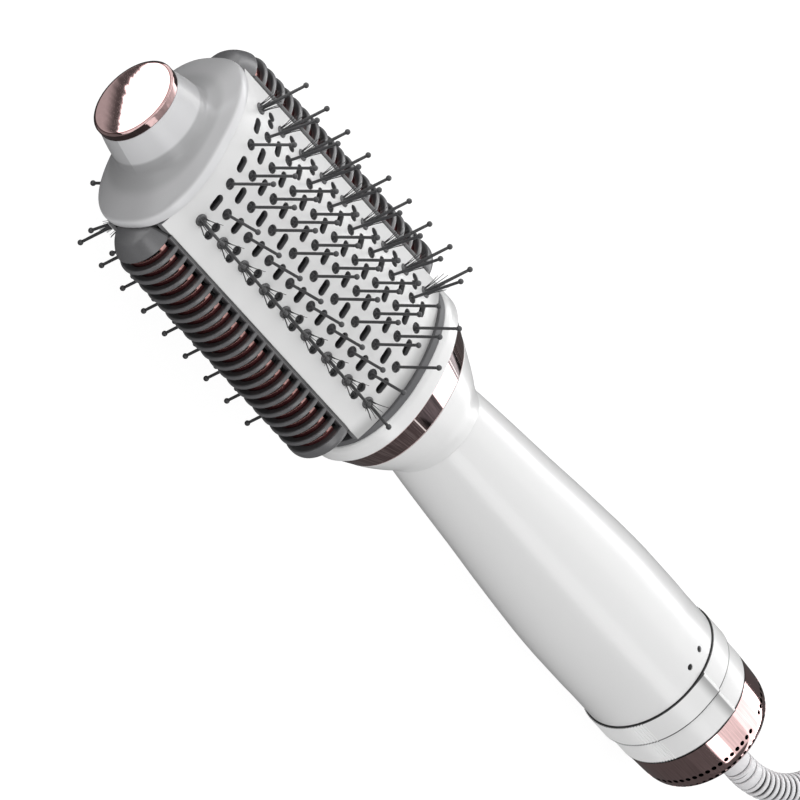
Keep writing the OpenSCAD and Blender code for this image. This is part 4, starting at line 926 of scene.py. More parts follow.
class STYLER_OT_face(bpy.types.Operator):
    """Plates and pins from the solids, and the tufted strips at their sides"""
    bl_idname = "styler.face"
    bl_label = "Plates, pins and tufts"

    def execute(self, context):
        head = context.scene.styler_head
        for face in ("front", "back"):
            soften_node(face + "_plate", "plate_white")
            soften_node(face + "_pins", "pin_dark")
        column, lean = head.tuft_column / MM, head.lean
        plate_r, crown = head.plate_radius / MM, head.crown / MM
        ball_at, ball = 17.1, 0.95
        stem = [(-2.5, 0, 0), (-2.5, 2.0, 0), (0.3, 2.0, 0.4), (0.5, 1.3, 0.3), (1.1, 0.6, 0.3), (16.2, 0.5, 0)]
        stem += [(ball_at - ball * math.cos(t), ball * math.sin(t), 0)
                 for t in (math.pi * (0.16 + 0.84 * k / 10) for k in range(11))]
        pin = raw("tuft_pin", lathe_up(stem), Matrix())
        grow = tuft_tree()
        for name, node, face in (("front_tuft_field", "front_tufts", 1), ("back_tuft_field", "back_tufts", -1)):
            z = crown - plate_r + math.sqrt(plate_r ** 2 - column ** 2)
            stands = [(side, X_HEAD0 + (head.first_row + k * head.row_pitch) / MM)
                      for side in (-1, 1) for k in range(head.rows)]
            points = marks(name, [(x, side * column, face * z) for side, x in stands],
                           [(0, side * math.sin(lean), face * math.cos(lean)) for side, x in stands])
            field = grow.grow(points, Pin=pin, Strands=head.strands, Ring=1.2, Length=8.3, Radius=0.21,
                              Splay=0.17, Bend=0.8, Seed=7 + face, Material=finish("strand"))
            field.data.transform(LAY @ SCALE)
            tufts = bmesh.new()
            tufts.from_mesh(field.data)
            whole = joined(tufts, self.strips(face, plate_r, crown))
            old = field.data
            field.data = bpy.data.meshes.new(name)
            whole.to_mesh(field.data)
            whole.free()
            bpy.data.meshes.remove(old)
            dress(field, finish("strand"), "styler", [node], 45)
        drop(pin)
        return {"FINISHED"}

    def strips(self, face, plate_r, crown):
        """The curved strips under the plate that carry the tufts."""
        inner_edge, width = 18.85, 6.6
        shells = []
        for side in (-1, 1):
            edge = [side * (inner_edge + width * k / 8) for k in range(9)]
            outline = [(y, crown - plate_r + math.sqrt((plate_r - depth) ** 2 - y * y))
                       for depth, run in ((1.9, edge), (3.1, edge[::-1])) for y in run]
            rings = [[(x, y, face * z) for y, z in outline] for x in (X_HEAD0 + 4, X_HEAD1 - 2.5)]
            shells.append(skin(rings, caps=True))
        shell = joined(*shells)
        bmesh.ops.transform(shell, matrix=LAY @ SCALE, verts=shell.verts)
        return shell


class STYLER_OT_rolls(bpy.types.Operator):
    """Slotted side rolls with rounded ribs, and the metal liners inside them"""
    bl_idname = "styler.rolls"
    bl_label = "Side rolls"

    nose_length, nose_curve = 11.2, 14

    def execute(self, context):
        head = context.scene.styler_head
        r, pitch, count = head.roll_radius / MM, head.roll_pitch / MM, head.roll_slots
        first, wall, slot = ROLL_FIRST, 2.4, 3.5
        x0, x1 = X_HEAD0 + 0.1, X_HEAD1 - 3.9
        slots_end = first + (count - 1) * pitch + slot / 2
        repeat = repeat_tree()
        for name, node, side in (("right_roll", "right_comb", 1), ("left_roll", "left_comb", -1)):
            nose = rounded([(x0, 0, 0)] + [(x0 + self.nose_length * k / 14, self.nose(r, k / 14), 0) for k in range(8)]
                           + [(first - slot / 2, self.nose(r, 0.5), 0.35), (first - slot / 2, 0, 0)])
            tail = rounded([(slots_end, 0, 0), (slots_end, r, 0.35), (x1 - 2.4, r, 1.2), (x1 - 0.7, r - 0.8, 0.8),
                            (x1, r - 2.6, 0.8), (x1, 0, 0)])
            rail = [self.rail(r, wall, edge, first - slot / 2 - 0.4, slots_end + 0.4) for edge in (-1, 1)]
            body = joined(self.half(nose), self.half(tail), *rail)
            bmesh.ops.transform(body, matrix=Matrix.Diagonal((1, side, 1, 1)), verts=body.verts)
            if side < 0:
                bmesh.ops.reverse_faces(body, faces=body.faces)
            rib = raw("rib", self.rib(r, wall, pitch - slot, side), Matrix())
            roll = raw(name, body, Matrix())
            repeat.grow(roll, Part=rib, Count=count - 1, First=(first + pitch / 2, side * ROLL_CENTRE, 0.0),
                        Step=(pitch, 0.0, 0.0), Material=finish("roll_dark"))
            roll.data.transform(LAY @ SCALE)
            dress(roll, finish("roll_dark"), "styler", [node], 45)
            drop(rib)
        for node in ("left_liner", "right_liner"):
            soften_node(node, "rose_liner")
        return {"FINISHED"}

    def nose(self, r, share):
        """Radius of the nose at a share of its length."""
        return r * math.sqrt(max(0.0, 1 - ((1 - share) * self.nose_length / self.nose_curve) ** 2))

    def half(self, path, m=64):
        """Half a turned solid, closed by a flat face towards the plates."""
        turns = [math.pi * (k / m - 0.5) for k in range(m + 1)]
        return skin([[(x, ROLL_CENTRE + r * math.cos(t), r * math.sin(t)) for t in turns]
                     + [(x, ROLL_FLAT, r), (x, ROLL_FLAT, -r)] for x, r in path])

    def rail(self, r, wall, edge, x0, x1):
        """The unslotted strip of a roll beside the plate's edge."""
        outer, inner = ([(ROLL_CENTRE + q * math.cos(math.radians(a)), q * math.sin(math.radians(a))) for a in angles]
                        for q, angles in ((r, (85, 87.5, 90)), (r - wall, (90, 87, 83.7))))
        outline = outer + [(ROLL_FLAT, r), (ROLL_FLAT, r - wall)] + inner
        rings = [[(x, y, edge * z) for y, z in outline] for x in (x0, x1)]
        return skin(rings, caps=True)

    def rib(self, r, wall, width, side, m=48):
        """One rib: a half ring whose outer edges are rounded."""
        w = width / 2
        section = rounded([(-w, r - wall, 0.1), (-w, r - 0.02, 0.62), (w, r - 0.02, 0.62), (w, r - wall, 0.1)], True, 5)
        spread = math.radians(86)
        rings = [[(p[0], side * p[1] * math.cos(t), p[1] * math.sin(t)) for p in section]
                 for t in (-spread + 2 * spread * k / m for k in range(m + 1))]
        return skin(rings, caps=True)


class STYLER_OT_neck(bpy.types.Operator):
    """Seal, collar, metal band and shoulder between the head and the handle"""
    bl_idname = "styler.neck"
    bl_label = "Neck"

    def execute(self, context):
        size = context.scene.styler_handle
        a, b, r0 = size.collar_width / MM, size.collar_height / MM, size.neck_radius / MM
        seal = [(X_HEAD1, BORE, BORE, 2, 0), (X_HEAD1, a - 1.4, b - 1.9, 2.2, 0.4),
                (X_COLLAR, a - 1.2, b - 1.1, 2.2, 0.2), (X_COLLAR, BORE, BORE, 2, 0)]
        piece("seal", hoop(seal), "seal_grey", "styler", ["base_seal"])
        collar = [(X_COLLAR + 0.05, BORE, BORE, 2, 0), (X_COLLAR + 0.05, a - 0.9, b - 0.9, 2.2, 0.7),
                  (X_COLLAR + 1.6, a, b, 2.2, 0.8), (X_BAND - 0.6, a, b, 2.2, 0.5),
                  (X_BAND - 0.1, a - 0.5, b - 0.5, 2.2, 0.3), (X_BAND - 0.1, BORE, BORE, 2, 0)]
        piece("collar", hoop(collar), "gloss_white", "styler", ["base_collar"])
        shape = bowed([(X_BAND + 0.1, a - 0.9, b - 0.9, 2.2), (X_SHOULDER - 0.1, a - 5.2, b - 2.9, 2.1)], 14)
        band = ([(X_BAND + 0.1, a - 2.4, b - 2.4, 2.2, 0)]
                + [(*p, 0.3 if k in (0, len(shape) - 1) else 0) for k, p in enumerate(shape)]
                + [(X_SHOULDER - 0.1, a - 6.7, b - 4.4, 2.1, 0)])
        piece("band", hoop(band), "rose_band", "styler", ["neck_ring"])
        a1, b1 = a - 5.2, b - 2.9
        flow = bowed([(X_SHOULDER + 0.1, a1, b1, 2.1), (X_SHOULDER + 4.5, a1 - 2.4, b1 - 0.8, 2.08),
                      (X_SHOULDER + 10, a1 - 5.8, b1 - 1.7, 2.05), (X_HANDLE - 3.4, r0 + 1.75, r0 + 0.5, 2.01),
                      (X_HANDLE - 0.06, r0 + 0.02, r0 + 0.02, 2)], 44)
        neck = ([(X_SHOULDER + 0.1, BORE, BORE, 2, 0)] + [(*p, 0.0 if k else 0.25) for k, p in enumerate(flow)]
                + [(X_HANDLE - 0.06, BORE, BORE, 2, 0)])
        spigot = [(X_BAND + 0.2, BORE, BORE, 2, 0), (X_BAND + 0.2, a - 2.8, b - 2.8, 2.2, 0),
                  (X_SHOULDER + 0.2, a - 7.0, b - 4.7, 2.1, 0), (X_SHOULDER + 0.2, BORE, BORE, 2, 0)]
        piece("neck", joined(hoop(neck), hoop(spigot)), "gloss_white", "styler", ["shoulder"])
        return {"FINISHED"}


# Shares of the handle's length and of what its radius gains towards the tail
HANDLE_CURVE = ((0, 0), (0.045, 0.09), (0.2, 0.33), (0.32, 0.5), (0.433, 0.687), (0.549, 0.854), (0.664, 0.99),
                (0.75, 1.03), (0.85, 1.03), (0.92, 1), (1, 1))


def handle_path(size, count):
    """Stations of the handle's outside: x and radius."""
    r0, r1 = size.neck_radius / MM, size.tail_radius / MM
    return bowed([(X_HANDLE + s * (X_HEAT - X_HANDLE), r0 + (r1 - r0) * g) for s, g in HANDLE_CURVE], count)


def radial(x, degrees, up=0.0):
    """A place on the axes whose Z points out of the axis at an angle from +Y."""
    turn = Matrix.Rotation(math.radians(degrees - 90), 4, "X")
    return Matrix.Translation((x, 0, 0)) @ turn @ Matrix.Translation((0, 0, up))


class STYLER_OT_handle(bpy.types.Operator):
    """Glossy round handle with its two lamps and its screw"""
    bl_idname = "styler.handle"
    bl_label = "Handle"

    def execute(self, context):
        size = context.scene.styler_handle
        outer, lamp_r, screw_r = handle_path(size, 61), 1.12, 2.5
        path = [(X_HANDLE, BORE, 0)] + [(*p, 0.3 if k == len(outer) - 1 else 0) for k, p in enumerate(outer)]
        path += [(x, r - 2, 0) for x, r in reversed(outer[3:])] + [(X_HANDLE + 2, 17.0, 0), (X_HANDLE + 2, BORE, 0)]
        shell = raw("shell", lathe(rounded(path, True, 4), 192, closed=True), Matrix())
        tail = outer[-1][1]
        drills = joined(*[self.drill(LAMP_X, a, lamp_r, tail - 1.2, tail + 3) for a in LAMPS_AT],
                        self.drill(X_HEAT - 6, 270, screw_r, tail - 1.6, tail + 3))
        cutter = raw("cutter", drills, Matrix())
        cut = shell.modifiers.new("drilled", "BOOLEAN")
        cut.object, cut.solver = cutter, "EXACT"
        settle(shell)
        drop(cutter)
        shell.data.transform(LAY @ SCALE)
        dress(shell, finish("handle_white"), "styler", ["handle_shell"], 30)
        lenses = []
        surface = float(np.interp(LAMP_X, [p[0] for p in outer], [p[1] for p in outer]))
        for angle in LAMPS_AT:
            dome = lathe_up([(-3.2, 0, 0), (-3.2, lamp_r - 0.1, 0), (-0.35, lamp_r - 0.1, 0.15), (-0.08, 0.65, 0.25),
                             (0.0, 0, 0)], 24)
            bmesh.ops.transform(dome, matrix=radial(LAMP_X, angle, surface), verts=dome.verts)
            lenses.append(dome)
        piece("lamp_lenses", joined(*lenses), "lens", "styler", ["lamps"])
        soften_node("handle_screw", "steel")
        return {"FINISHED"}

    def drill(self, x, degrees, r, low, high):
        bm = bmesh.new()
        bmesh.ops.create_cone(bm, cap_ends=True, segments=32, radius1=r, radius2=r, depth=high - low,
                              matrix=radial(x, degrees, (low + high) / 2))
        return bm


class STYLER_OT_rings(bpy.types.Operator):
    """The two rotary rings, knurled at the far side, each with its index ridge"""
    bl_idname = "styler.rings"
    bl_label = "Rotary rings"

    step = 0.65          # degrees between the points round a ring
    tooth, depth = 2.6, 0.25
    flat, lee = 1.7, 14.3

    def execute(self, context):
        size = context.scene.styler_handle
        tail, bore, cap = size.tail_radius / MM + RING_STEP, size.ring_bore / MM, size.cap_radius / MM
        ridge = size.ridge / MM
        for name, node, body, x0, x1, r in (
                ("heat_dial", "heat_ring", "heat_selector", X_HEAT + SEAM, X_SPEED - SEAM, tail),
                ("speed_dial", "speed_ring", "speed_selector", X_SPEED + SEAM, X_CAP - SEAM, cap + 0.05)):
            section = rounded([(x0, bore, 0.15), (x0, r, 0.32), (x1, r, 0.32), (x1, bore, 0.15)], True, 5)
            turns = [math.radians(self.step * k) for k in range(round(360 / self.step))]
            rings = []
            for x, q in section:
                share = min(1.0, max(0.0, (q - r + 2.0) / 2.0))
                grown = [q + share * self.relief(math.degrees(t), ridge, q > r - 0.6) for t in turns]
                rings.append([(x, g * math.cos(t), g * math.sin(t)) for g, t in zip(grown, turns)])
            piece(name, skin(rings, closed=True), "ring_white", body, [node], 30)
        return {"FINISHED"}

    def relief(self, degrees, ridge, outside):
        """How far the ring stands out at an angle: teeth underneath, and the index ridge."""
        if not outside:
            return 0.0
        grow = 0.0
        if not 25 < degrees % 360 < 155:
            grow = self.depth * (2 * abs((degrees % 360 / self.tooth) % 1 - 0.5) * 2 - 1)
        past = degrees - RIDGE_AT
        if 0 <= past <= self.flat + self.lee:
            grow = max(grow, ridge * (1 - max(0, past - self.flat) / self.lee) ** 1.8)
        elif -self.step < past < 0:
            grow = ridge * 0.4
        return grow


class STYLER_OT_inlet(bpy.types.Operator):
    """Pierced rose gold bowl at the tail, its filter and the cord's swivel"""
    bl_idname = "styler.inlet"
    bl_label = "Inlet cap"

    def execute(self, context):
        size = context.scene.styler_handle
        r, wall, cells = size.cap_radius / MM, size.cap_wall / MM, size.holes
        corners = [(X_CAP + 0.15, r - 0.02, 0), (X_END - 8.6, r - 0.5, 2.5), (X_END - 5.1, r - 0.9, 1.7),
                   (X_END - 2.2, r - 2.0, 1.7), (X_END - 0.3, r - 4.4, 1.3), (X_END, r - 7, 1.2), (X_END, 8.2, 0)]
        path = np.array(rounded(corners, steps=10))
        profile = bpy.data.curves.new("profile", "CURVE")
        profile.dimensions = "3D"
        line = profile.splines.new("POLY")
        line.points.add(len(path) - 1)
        for point, (x, y) in zip(line.points, path):
            point.co = (x, y, 0, 1)
        profile = bpy.data.objects.new("profile", profile)
        bpy.context.scene.collection.objects.link(profile)
        run = np.concatenate([[0], np.cumsum(np.linalg.norm(np.diff(path, axis=0), axis=1))])
        rows = [float(np.interp(x, path[:, 0], run)) for x in (X_END - 7.6, X_END - 3.2)]
        half, fine, cell = 1.14, 4, 360 / cells
        columns = cells * fine
        bm = bmesh.new()
        bands = [(0, rows[0] - half, 12), (rows[0] + half, rows[1] - half, 5), (rows[1] + half, float(run[-1]), 26)]
        for start, end, count in bands:
            grid = [[bm.verts.new((start + (end - start) * i / count, cell * (j / fine - 0.5), 0))
                     for j in range(columns + 1)] for i in range(count + 1)]
            for i in range(count):
                for j in range(columns):
                    bm.faces.new((grid[i][j], grid[i][j + 1], grid[i + 1][j + 1], grid[i + 1][j]))
        bowl = raw("bowl", bm, Matrix())
        pierced, solid = (raw(name, self.cell(half, cell, fine, hole, r - 1.0), Matrix())
                          for name, hole in (("pierced_cell", size.hole_radius / MM), ("solid_cell", 0)))
        bowl_tree().grow(bowl, Pierced=pierced, Solid=solid, Profile=profile, Cells=cells, Row_1=rows[0], Row_2=rows[1],
                         Gap_at=88.0, Gap_half=7.0, Material=finish("rose_bowl"))
        drop(pierced, solid, profile)
        bm = bmesh.new()
        bm.from_mesh(bowl.data)
        bmesh.ops.remove_doubles(bm, verts=bm.verts, dist=0.02)
        bmesh.ops.recalc_face_normals(bm, faces=bm.faces)
        probe = max(bm.faces, key=lambda f: abs(f.calc_center_median().z))
        if probe.normal.z * probe.calc_center_median().z < 0:
            bmesh.ops.reverse_faces(bm, faces=bm.faces)
        bm.to_mesh(bowl.data)
        bm.free()
        outside = len(bowl.data.vertices)
        solidify = bowl.modifiers.new("wall", "SOLIDIFY")
        solidify.thickness, solidify.offset = wall, -1
        settle(bowl)
        # Marks the wall's inner points, which the bowl's finish paints in shade.
        deep = bowl.data.attributes.new("deep", "FLOAT", "POINT")
        deep.data.foreach_set("value", [float(k >= outside) for k in range(len(bowl.data.vertices))])
        bowl.data.transform(LAY @ SCALE)
        dress(bowl, finish("rose_bowl"), "styler", ["inlet_cap"], 35)
        for node, material in (("inlet_filter", "mesh"), ("swivel_socket", "inner"), ("swivel_core", "relief")):
            soften_node(node, material)
        return {"FINISHED"}

    def cell(self, half, cell, fine, hole, radius):
        """A flat cell: plain, or pierced by a round hole. Its Y is in degrees."""
        bm = bmesh.new()
        scale = DEGREES / radius
        edge = ([(-half, cell * (k / fine - 0.5)) for k in range(fine)]
                + [(half * (k - 1), cell / 2) for k in range(2)]
                + [(half, cell * (0.5 - k / fine)) for k in range(fine)]
                + [(half * (1 - k), -cell / 2) for k in range(2)])
        outer = [bm.verts.new((x, y, 0)) for x, y in edge]
        if not hole:
            bm.faces.new(outer)
            return bm
        rows = [outer]
        for share in (1.22, 1.06, 1.0):
            reach = hole * share
            rows.append([bm.verts.new((reach * math.cos(t), reach * math.sin(t) * scale, 0))
                         for t in (math.atan2(y / scale, x) for x, y in edge)])
        for a, b in zip(rows, rows[1:]):
            for k in range(len(a)):
                bm.faces.new((a[k], a[(k + 1) % len(a)], b[(k + 1) % len(a)], b[k]))
        return bm


def ring_across(spot, way, radius, sides):
    """A circle of points round a spot, square to a direction."""
    side = way.cross(Vector((0, 0, 1))).normalized()
    over = side.cross(way)
    return [spot + radius * (math.cos(t) * side + math.sin(t) * over)
            for t in (2 * math.pi * k / sides for k in range(sides))]


def tube(path, radius, sides):
    """A closed tube along a path."""
    ways = [(path[min(i + 1, len(path) - 1)] - path[max(i - 1, 0)]).normalized() for i in range(len(path))]
    return skin([ring_across(spot, way, radius, sides) for spot, way in zip(path, ways)], caps=True)


def standing(x, y, z, angle):
    """A place in millimetres on the table, turned round Z."""
    return Matrix.Translation((x * MM, y * MM, z * MM)) @ Matrix.Rotation(angle, 4, "Z") @ SCALE


class STYLER_OT_cord(bpy.types.Operator):
    """Ribbed strain relief, the cord with its stored coil, the tie and the plug"""
    bl_idname = "styler.cord"
    bl_label = "Cord"

    # Route on the table, in millimetres in the table's frame, from the relief to the coil
    route = ((236.5, 27.9, 17.6), (250.2, 37.6, 14.7), (265.4, 45.1, 11.3), (281.8, 50.3, 7.9), (298.6, 53.5, 5.4))
    coil_centre, coil_inner, coil_step, coil_z = (322, 4), 26.0, 7.0, 4.45
    coil_start, coil_over, coil_tail, per_turn = math.radians(90), 1 / 12, 20.0, 36

    def coil_point(self, t, turns):
        """Point of the coil after some turns: inwards in the lower layer, then outwards in the upper one."""
        r = self.coil_inner + abs(turns - t) * self.coil_step
        a = self.coil_start - 2 * math.pi * t
        climb = min(1.0, max(0.0, (t - turns + 0.25) * 2))
        climb = climb * climb * (3 - 2 * climb)
        return Vector((self.coil_centre[0] + r * math.cos(a), self.coil_centre[1] + r * math.sin(a),
                       self.coil_z + self.coil_step * climb))

    def relief_length(self, size):
        """Length of the relief's middle line."""
        return RELIEF_STRAIGHT + size.relief_bend / MM * RELIEF_TURN

    def relief_point(self, s, size):
        """Point and direction of the relief's middle line at a distance from the cap, on the styler's axes."""
        bend = size.relief_bend / MM
        turn = max(0.0, s - RELIEF_STRAIGHT) / bend
        x = RELIEF_START + min(s, RELIEF_STRAIGHT) + bend * math.sin(turn)
        spot = Vector((x, bend * (1 - math.cos(turn)), 0))
        return spot, Vector((math.cos(turn), math.sin(turn), 0))

    def execute(self, context):
        size = context.scene.styler_cord
        self.relief(size)
        spot, way = self.relief_point(self.relief_length(size), size)
        start = (LAY @ SCALE @ spot) / MM
        heading = (LAY.to_3x3() @ way).normalized()
        turns = size.coil_turns
        tangent = Vector((math.sin(self.coil_start), -math.cos(self.coil_start), 0))
        first = self.coil_point(0, turns)
        knots = [start] + [Vector(p) for p in self.route] + [first - tangent * size.diameter / MM]
        lead = self.spline(knots, heading, tangent, 6)
        total = 2 * turns + self.coil_over
        last = self.coil_start - 2 * math.pi * total
        leaving = Vector((math.sin(last), -math.cos(last), 0))
        coil = [self.coil_point(k / self.per_turn, turns) for k in range(round(total * self.per_turn) + 1)]
        end = coil[-1] + leaving * self.coil_tail
        path = lead + coil + [coil[-1] + leaving * self.coil_tail * share for share in (0.35, 0.7)] + [end]
        path = [p * MM for p in path]
        cord = raw("cord", tube(path, size.diameter / 2, 16), Matrix())
        dress(cord, finish("relief"), "cord", ["cord_lead", "cord_coil"])
        plug = self.plug(end, leaving)
        tie = self.tie(turns, size)
        soften_node("plug_prongs", "nickel")
        return {"FINISHED"}

    def spline(self, knots, first_way, last_way, steps):
        """A smooth line through knots that starts and ends in given directions."""
        ways = [(after - before) / 2 for before, after in zip(knots, knots[2:])]
        ways = ([first_way * (knots[1] - knots[0]).length] + ways
                + [last_way * (knots[-1] - knots[-2]).length])
        return [hermite(knots[i], knots[i + 1], ways[i], ways[i + 1], k / steps)
                for i in range(len(knots) - 1) for k in range(steps)] + [knots[-1]]

    def relief(self, size):
        """Collar, two plain segments and the ribs round the bend, on a slim core."""
        r, core, ribs = size.relief_radius / MM, size.diameter / MM / 2 + 0.8, size.ribs
        total = self.relief_length(size)
        shells = [tube([self.relief_point(total * k / 60, size)[0] for k in range(61)], core, 28)]
        for at, run in ((0.0, 16.1), (16.7, 3.4), (20.7, 3.4)):
            spots, ways = zip(*[self.relief_point(at + run * k / 8, size) for k in range(9)])
            shells.append(self.sleeve(spots, ways, r, 0.5))
        body = raw("relief_body", joined(*shells), Matrix())
        spots, ways = zip(*[self.relief_point(25.4 + 2.8 * k, size) for k in range(ribs)])
        half, foot = 0.78, core - 0.6
        section = [(-half, foot, 0), (-half, r, 0.5), (half, r, 0.5), (half, foot, 0)]
        ring = raw("relief_rib", lathe_up(section, 40), Matrix())
        points = marks("relief_marks", spots, ways, [1 - 0.05 * k / ribs for k in range(ribs)])
        path_tree().grow(points, Ring=ring, Material=finish("sleeve"))
        bm = bmesh.new()
        bm.from_mesh(points.data)
        bm.from_mesh(body.data)
        sleeve = raw("relief_sleeve", bm)
        drop(points, body, ring)
        dress(sleeve, finish("sleeve"), "cord", ["strain_relief"], 40)

    def sleeve(self, spots, ways, r, edge):
        """A closed sleeve along a few points with rounded ends."""
        ends = [(0.0, r - 2.2), (0.0, r - edge), (0.12 * edge, r - 0.35 * edge), (0.45 * edge, r - 0.08 * edge),
                (edge, r)]
        rows = ([(spots[0] + ways[0] * d, ways[0], q) for d, q in ends]
                + [(s, w, r) for s, w in zip(spots[1:-1], ways[1:-1])]
                + [(spots[-1] - ways[-1] * d, ways[-1], q) for d, q in reversed(ends)])
        return skin([ring_across(spot, way, radius, 40) for spot, way, radius in rows], caps=True)

    def plug(self, end, way):
        """A two-pole plug with a waisted grip."""
        neck, length, half, thick = 18.0, 40.0, 18.0, 10.9
        keys = [(-0.5, 4.3, 4.3, 2, 0), (3, 4.4, 4.4, 2, 0.5), (neck - 6, 5.6, 5.6, 2, 2), (neck, 9.6, 7.6, 2.3, 3),
                (neck + 11, 15.4, thick - 1.2, 2.8, 5), (neck + 24, 15.2, thick - 1.6, 2.8, 6),
                (neck + length - 6, half, thick, 3.2, 4), (neck + length, half, thick, 3.2, 1.2),
                (neck + length, half - 4, thick - 4, 3.2, 0.5), (neck + length, 0, 0, 2, 0)]
        path = rounded([(-0.5, 0, 0, 2, 0)] + keys, steps=8)
        dense = []
        for a, b in zip(path, path[1:]):
            count = max(1, int(abs(b[0] - a[0]) / 0.45))
            dense += [a + (b - a) * k / count for k in range(count)]
        dense.append(path[-1])
        grip, pitch = neck + 10, 2.83
        for p in dense:
            if grip < p[0] < grip + 6 * pitch + 0.02:
                groove = 0.45 * max(0.0, math.sin((p[0] - grip) * 2 * math.pi / pitch)) ** 2
                p[1] -= groove
                p[2] -= groove * 0.3
        turn = standing(end.x, end.y, thick, math.atan2(way.y, way.x))
        return piece("plug_grip", loft(dense, 96), "relief", "cord", ["plug_body"], 45, turn)

    def tie(self, turns, size):
        """The strap that holds the coil, with its buckle."""
        d = size.diameter / MM
        r0, r1 = self.coil_inner - d / 2 - 1.2, self.coil_inner + turns * self.coil_step + d / 2 + 0.4
        high, wide, thick = d + self.coil_step + 0.4, 9.0, 1.0
        section, hole = (rounded([(r0 - out, thick - out, by), (r1 + out, thick - out, by),
                                  (r1 + out, high + thick + out, by), (r0 - out, high + thick + out, by)], True)
                         for out, by in ((thick, 1.6), (0, 1.0)))
        rings = [[(p[0], y, p[1]) for p in path] for path, y in
                 ((section, -wide / 2), (section, wide / 2), (hole, wide / 2), (hole, -wide / 2))]
        strap = skin(rings, closed=True)
        teeth = [block((x, -wide / 2 + 1.2, high + 2 * thick - 0.1), (x + 0.5, wide / 2 - 1.2, high + 2 * thick + 0.18))
                 for x in np.arange(r0 + 2, r0 + 14, 1.0)]
        buckle = block((r0 + 14.5, -wide / 2 - 0.6, high + thick - 0.2),
                       (r0 + 20, wide / 2 + 0.6, high + 2 * thick + 1.3), 0.5)
        turn = standing(*self.coil_centre, 0, math.radians(-50))
        return piece("tie_strap", joined(strap, *teeth, buckle), "tie", "cord", ["cord_tie"], 40, turn)


class STYLER_OT_inside(bpy.types.Operator):
    """Finishes of the pieces inside the head and the handle"""
    bl_idname = "styler.inside"
    bl_label = "Inside"

    finishes = {
        "inner": ("head_spine", "duct", "motor_holder", "control_sleeve", "impeller"),
        "mica": ("heater_frame",), "winding": ("heater_winding",), "board": ("circuit_board",),
        "wire_skin": ("wires",), "brass": ("thermal_fuse", "heat_contact", "speed_contact"),
        "steel": ("tip_screw", "motor", "motor_shaft", "detent_balls", "detent_springs", "thermostat")}

    def execute(self, context):
        for material, nodes in self.finishes.items():
            for node in nodes:
                soften_node(node, material)
        return {"FINISHED"}


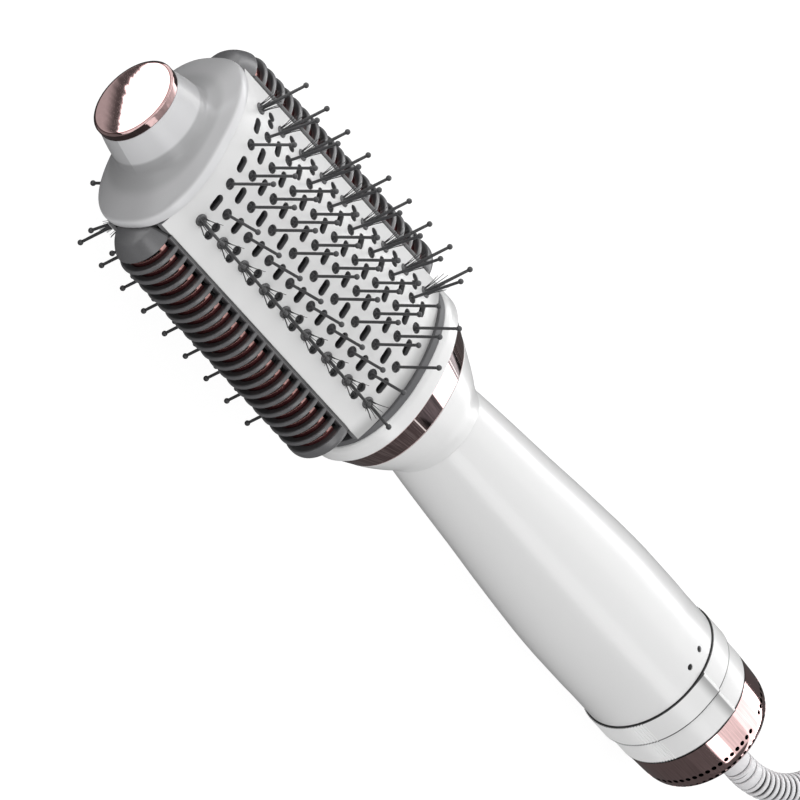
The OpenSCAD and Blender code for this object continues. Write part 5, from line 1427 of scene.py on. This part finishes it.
class STYLER_OT_stage(bpy.types.Operator):
    """Pale floor, softboxes and the camera"""
    bl_idname = "styler.stage"
    bl_label = "Stage"

    lens, sensor = 479.5, 36.0
    camera_at = (-1.887017, -1.4695, 2.539449)
    camera_turn = (2.18855, -43.50463, 34.94153)

    def execute(self, context):
        look = context.scene.styler_look
        self.floor()
        self.world(look)
        for name, spot, aim, size, share in (
                ("right", (0.0, 1.2, 1.2), (0, 0, 0.03), (1.6, 1.2), 0.79),
                ("tail", (1.3, 0.9, 0.9), (0.05, 0, 0.03), (1.0, 0.8), 0.5),
                ("tip", (-1.4, 0.5, 0.9), (-0.1, 0, 0.03), (0.8, 0.8), 0.3),
                ("low", (0.0, -1.3, 0.22), (0.05, 0, 0.03), (1.6, 0.5), 0.5)):
            self.light(name, spot, aim, size, look.key * share)
        data = bpy.data.cameras.new("camera")
        data.lens, data.sensor_width, data.sensor_fit = self.lens, self.sensor, "HORIZONTAL"
        data.clip_start, data.clip_end = 0.1, 30
        camera = bpy.data.objects.new("camera", data)
        camera.location = self.camera_at
        camera.rotation_euler = [math.radians(v) for v in self.camera_turn]
        bpy.context.scene.collection.objects.link(camera)
        bpy.context.scene.camera = camera
        bpy.context.scene.view_settings.view_transform = "Standard"
        return {"FINISHED"}

    def floor(self):
        """A pale floor that mirrors in the styler as a white card with a torn edge before its tip."""
        material = bpy.data.materials.new("floor")
        material.use_nodes = True
        made = Tree(material.node_tree)
        made.tree.nodes.clear()
        rays = made.node("ShaderNodeLightPath")
        x, y, _ = made.split(made.node("ShaderNodeTexCoord")["Object"])
        teeth = made.node("ShaderNodeTexNoise", {"noise_dimensions": "1D"}, {"W": y, "Scale": 420.0, "Detail": 3.0})[0]
        past = x + 0.2115 + made.math("MAXIMUM", 0.036 - y, 0.0) * 0.88 + (teeth - 0.5) * 0.007
        card = (1 - x.smooth(-0.197, -0.19)) * ((1 - past.smooth(-0.001, 0.001)) + past.smooth(0.006, 0.02) * 0.15)
        shown = made.node("ShaderNodeAddShader", None, [self.matte(made, 0.17), self.glow(made, 0.93)])[0]
        whole = made.node("ShaderNodeMixShader", None, [rays["Is Camera Ray"], self.matte(made, 0.4), shown])[0]
        whole = made.node("ShaderNodeMixShader", None,
                          [rays["Is Glossy Ray"], whole, self.glow(made, card * 2.2 + 0.08)])[0]
        made.node("ShaderNodeOutputMaterial", None, [whole])
        bm = bmesh.new()
        bmesh.ops.create_grid(bm, x_segments=8, y_segments=8, size=6)
        floor = raw("floor", bm, Matrix())
        floor.data.materials.append(material)

    def matte(self, made, level):
        return made.node("ShaderNodeBsdfDiffuse", None, {"Color": (level, level, level, 1)})[0]

    def glow(self, made, strength):
        return made.node("ShaderNodeEmission", None, {"Color": (1, 1, 1, 1), "Strength": strength})[0]

    def world(self, look):
        """The room: plain light, a pale background, and softbox bands along the styler for mirrored rays."""
        world = bpy.data.worlds.new("studio")
        world.use_nodes = True
        bpy.context.scene.world = world
        made = Tree(world.node_tree)
        made.tree.nodes.clear()
        rays = made.node("ShaderNodeLightPath")
        x, y, z = made.split(made.node("ShaderNodeTexCoord")["Generated"])
        angle = made.math("ARCTAN2", z, y) * DEGREES
        before_tail = 1 - x.smooth(0.86, 0.9)
        box, hot = angle.within(4, 8, 70, 74), angle.within(4, 8, 14, 36)
        strip, between = angle.within(114, 117, 139, 142) * before_tail, angle.within(70, 74, 114, 117) * before_tail
        bands = box * 1.4 + hot * 3.2 + strip * 2.3 + between * 0.8 + 0.1
        plain, seen, mirrored = (
            made.node("ShaderNodeBackground", None, {"Color": (level, level, level, 1), "Strength": strength})[0]
            for level, strength in ((1, look.fill), (0.93, 1.0), (1, bands)))
        mixed = made.node("ShaderNodeMixShader", None, [rays["Is Glossy Ray"], plain, mirrored])[0]
        mixed = made.node("ShaderNodeMixShader", None, [rays["Is Camera Ray"], mixed, seen])[0]
        made.node("ShaderNodeOutputWorld", None, [mixed])

    def light(self, name, spot, aim, size, power):
        data = bpy.data.lights.new(name, "AREA")
        data.shape, data.size, data.size_y, data.energy = "RECTANGLE", size[0], size[1], power
        light = bpy.data.objects.new(name, data)
        light.location = spot
        light.rotation_euler = (Vector(aim) - Vector(spot)).to_track_quat("-Z", "Y").to_euler()
        light.visible_glossy = False
        bpy.context.scene.collection.objects.link(light)


class STYLER_PT_panel(bpy.types.Panel):
    """Builds the styler's looks"""
    bl_idname = "STYLER_PT_panel"
    bl_label = "Hot Air Styler"
    bl_space_type = "VIEW_3D"
    bl_region_type = "UI"
    bl_category = "Styler"

    def draw(self, context):
        for operator in OPERATORS:
            self.layout.operator(operator.bl_idname)
        for group in SETTINGS:
            settings, box = getattr(context.scene, group), self.layout.box()
            for name in settings.__annotations__:
                box.prop(settings, name)


SETTINGS = {"styler_head": StylerHead, "styler_handle": StylerHandle, "styler_cord": StylerCord,
            "styler_look": StylerLook}
OPERATORS = (STYLER_OT_stage, STYLER_OT_cord, STYLER_OT_tip, STYLER_OT_face, STYLER_OT_rolls, STYLER_OT_neck,
             STYLER_OT_handle, STYLER_OT_rings, STYLER_OT_inlet, STYLER_OT_inside)


def register():
    for group in SETTINGS.values():
        bpy.utils.register_class(group)
    for name, group in SETTINGS.items():
        setattr(bpy.types.Scene, name, PointerProperty(type=group))
    for operator in OPERATORS:
        bpy.utils.register_class(operator)
    bpy.utils.register_class(STYLER_PT_panel)


def unregister():
    bpy.utils.unregister_class(STYLER_PT_panel)
    for operator in reversed(OPERATORS):
        bpy.utils.unregister_class(operator)
    for name, group in SETTINGS.items():
        delattr(bpy.types.Scene, name)
        bpy.utils.unregister_class(group)


def main():
    """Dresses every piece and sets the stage."""
    register()
    make_finishes(bpy.context.scene.styler_look)
    soften_tree()
    for operator in OPERATORS:
        family, name = operator.bl_idname.split(".")
        getattr(getattr(bpy.ops, family), name)()


if __name__ == "__main__":
    main()
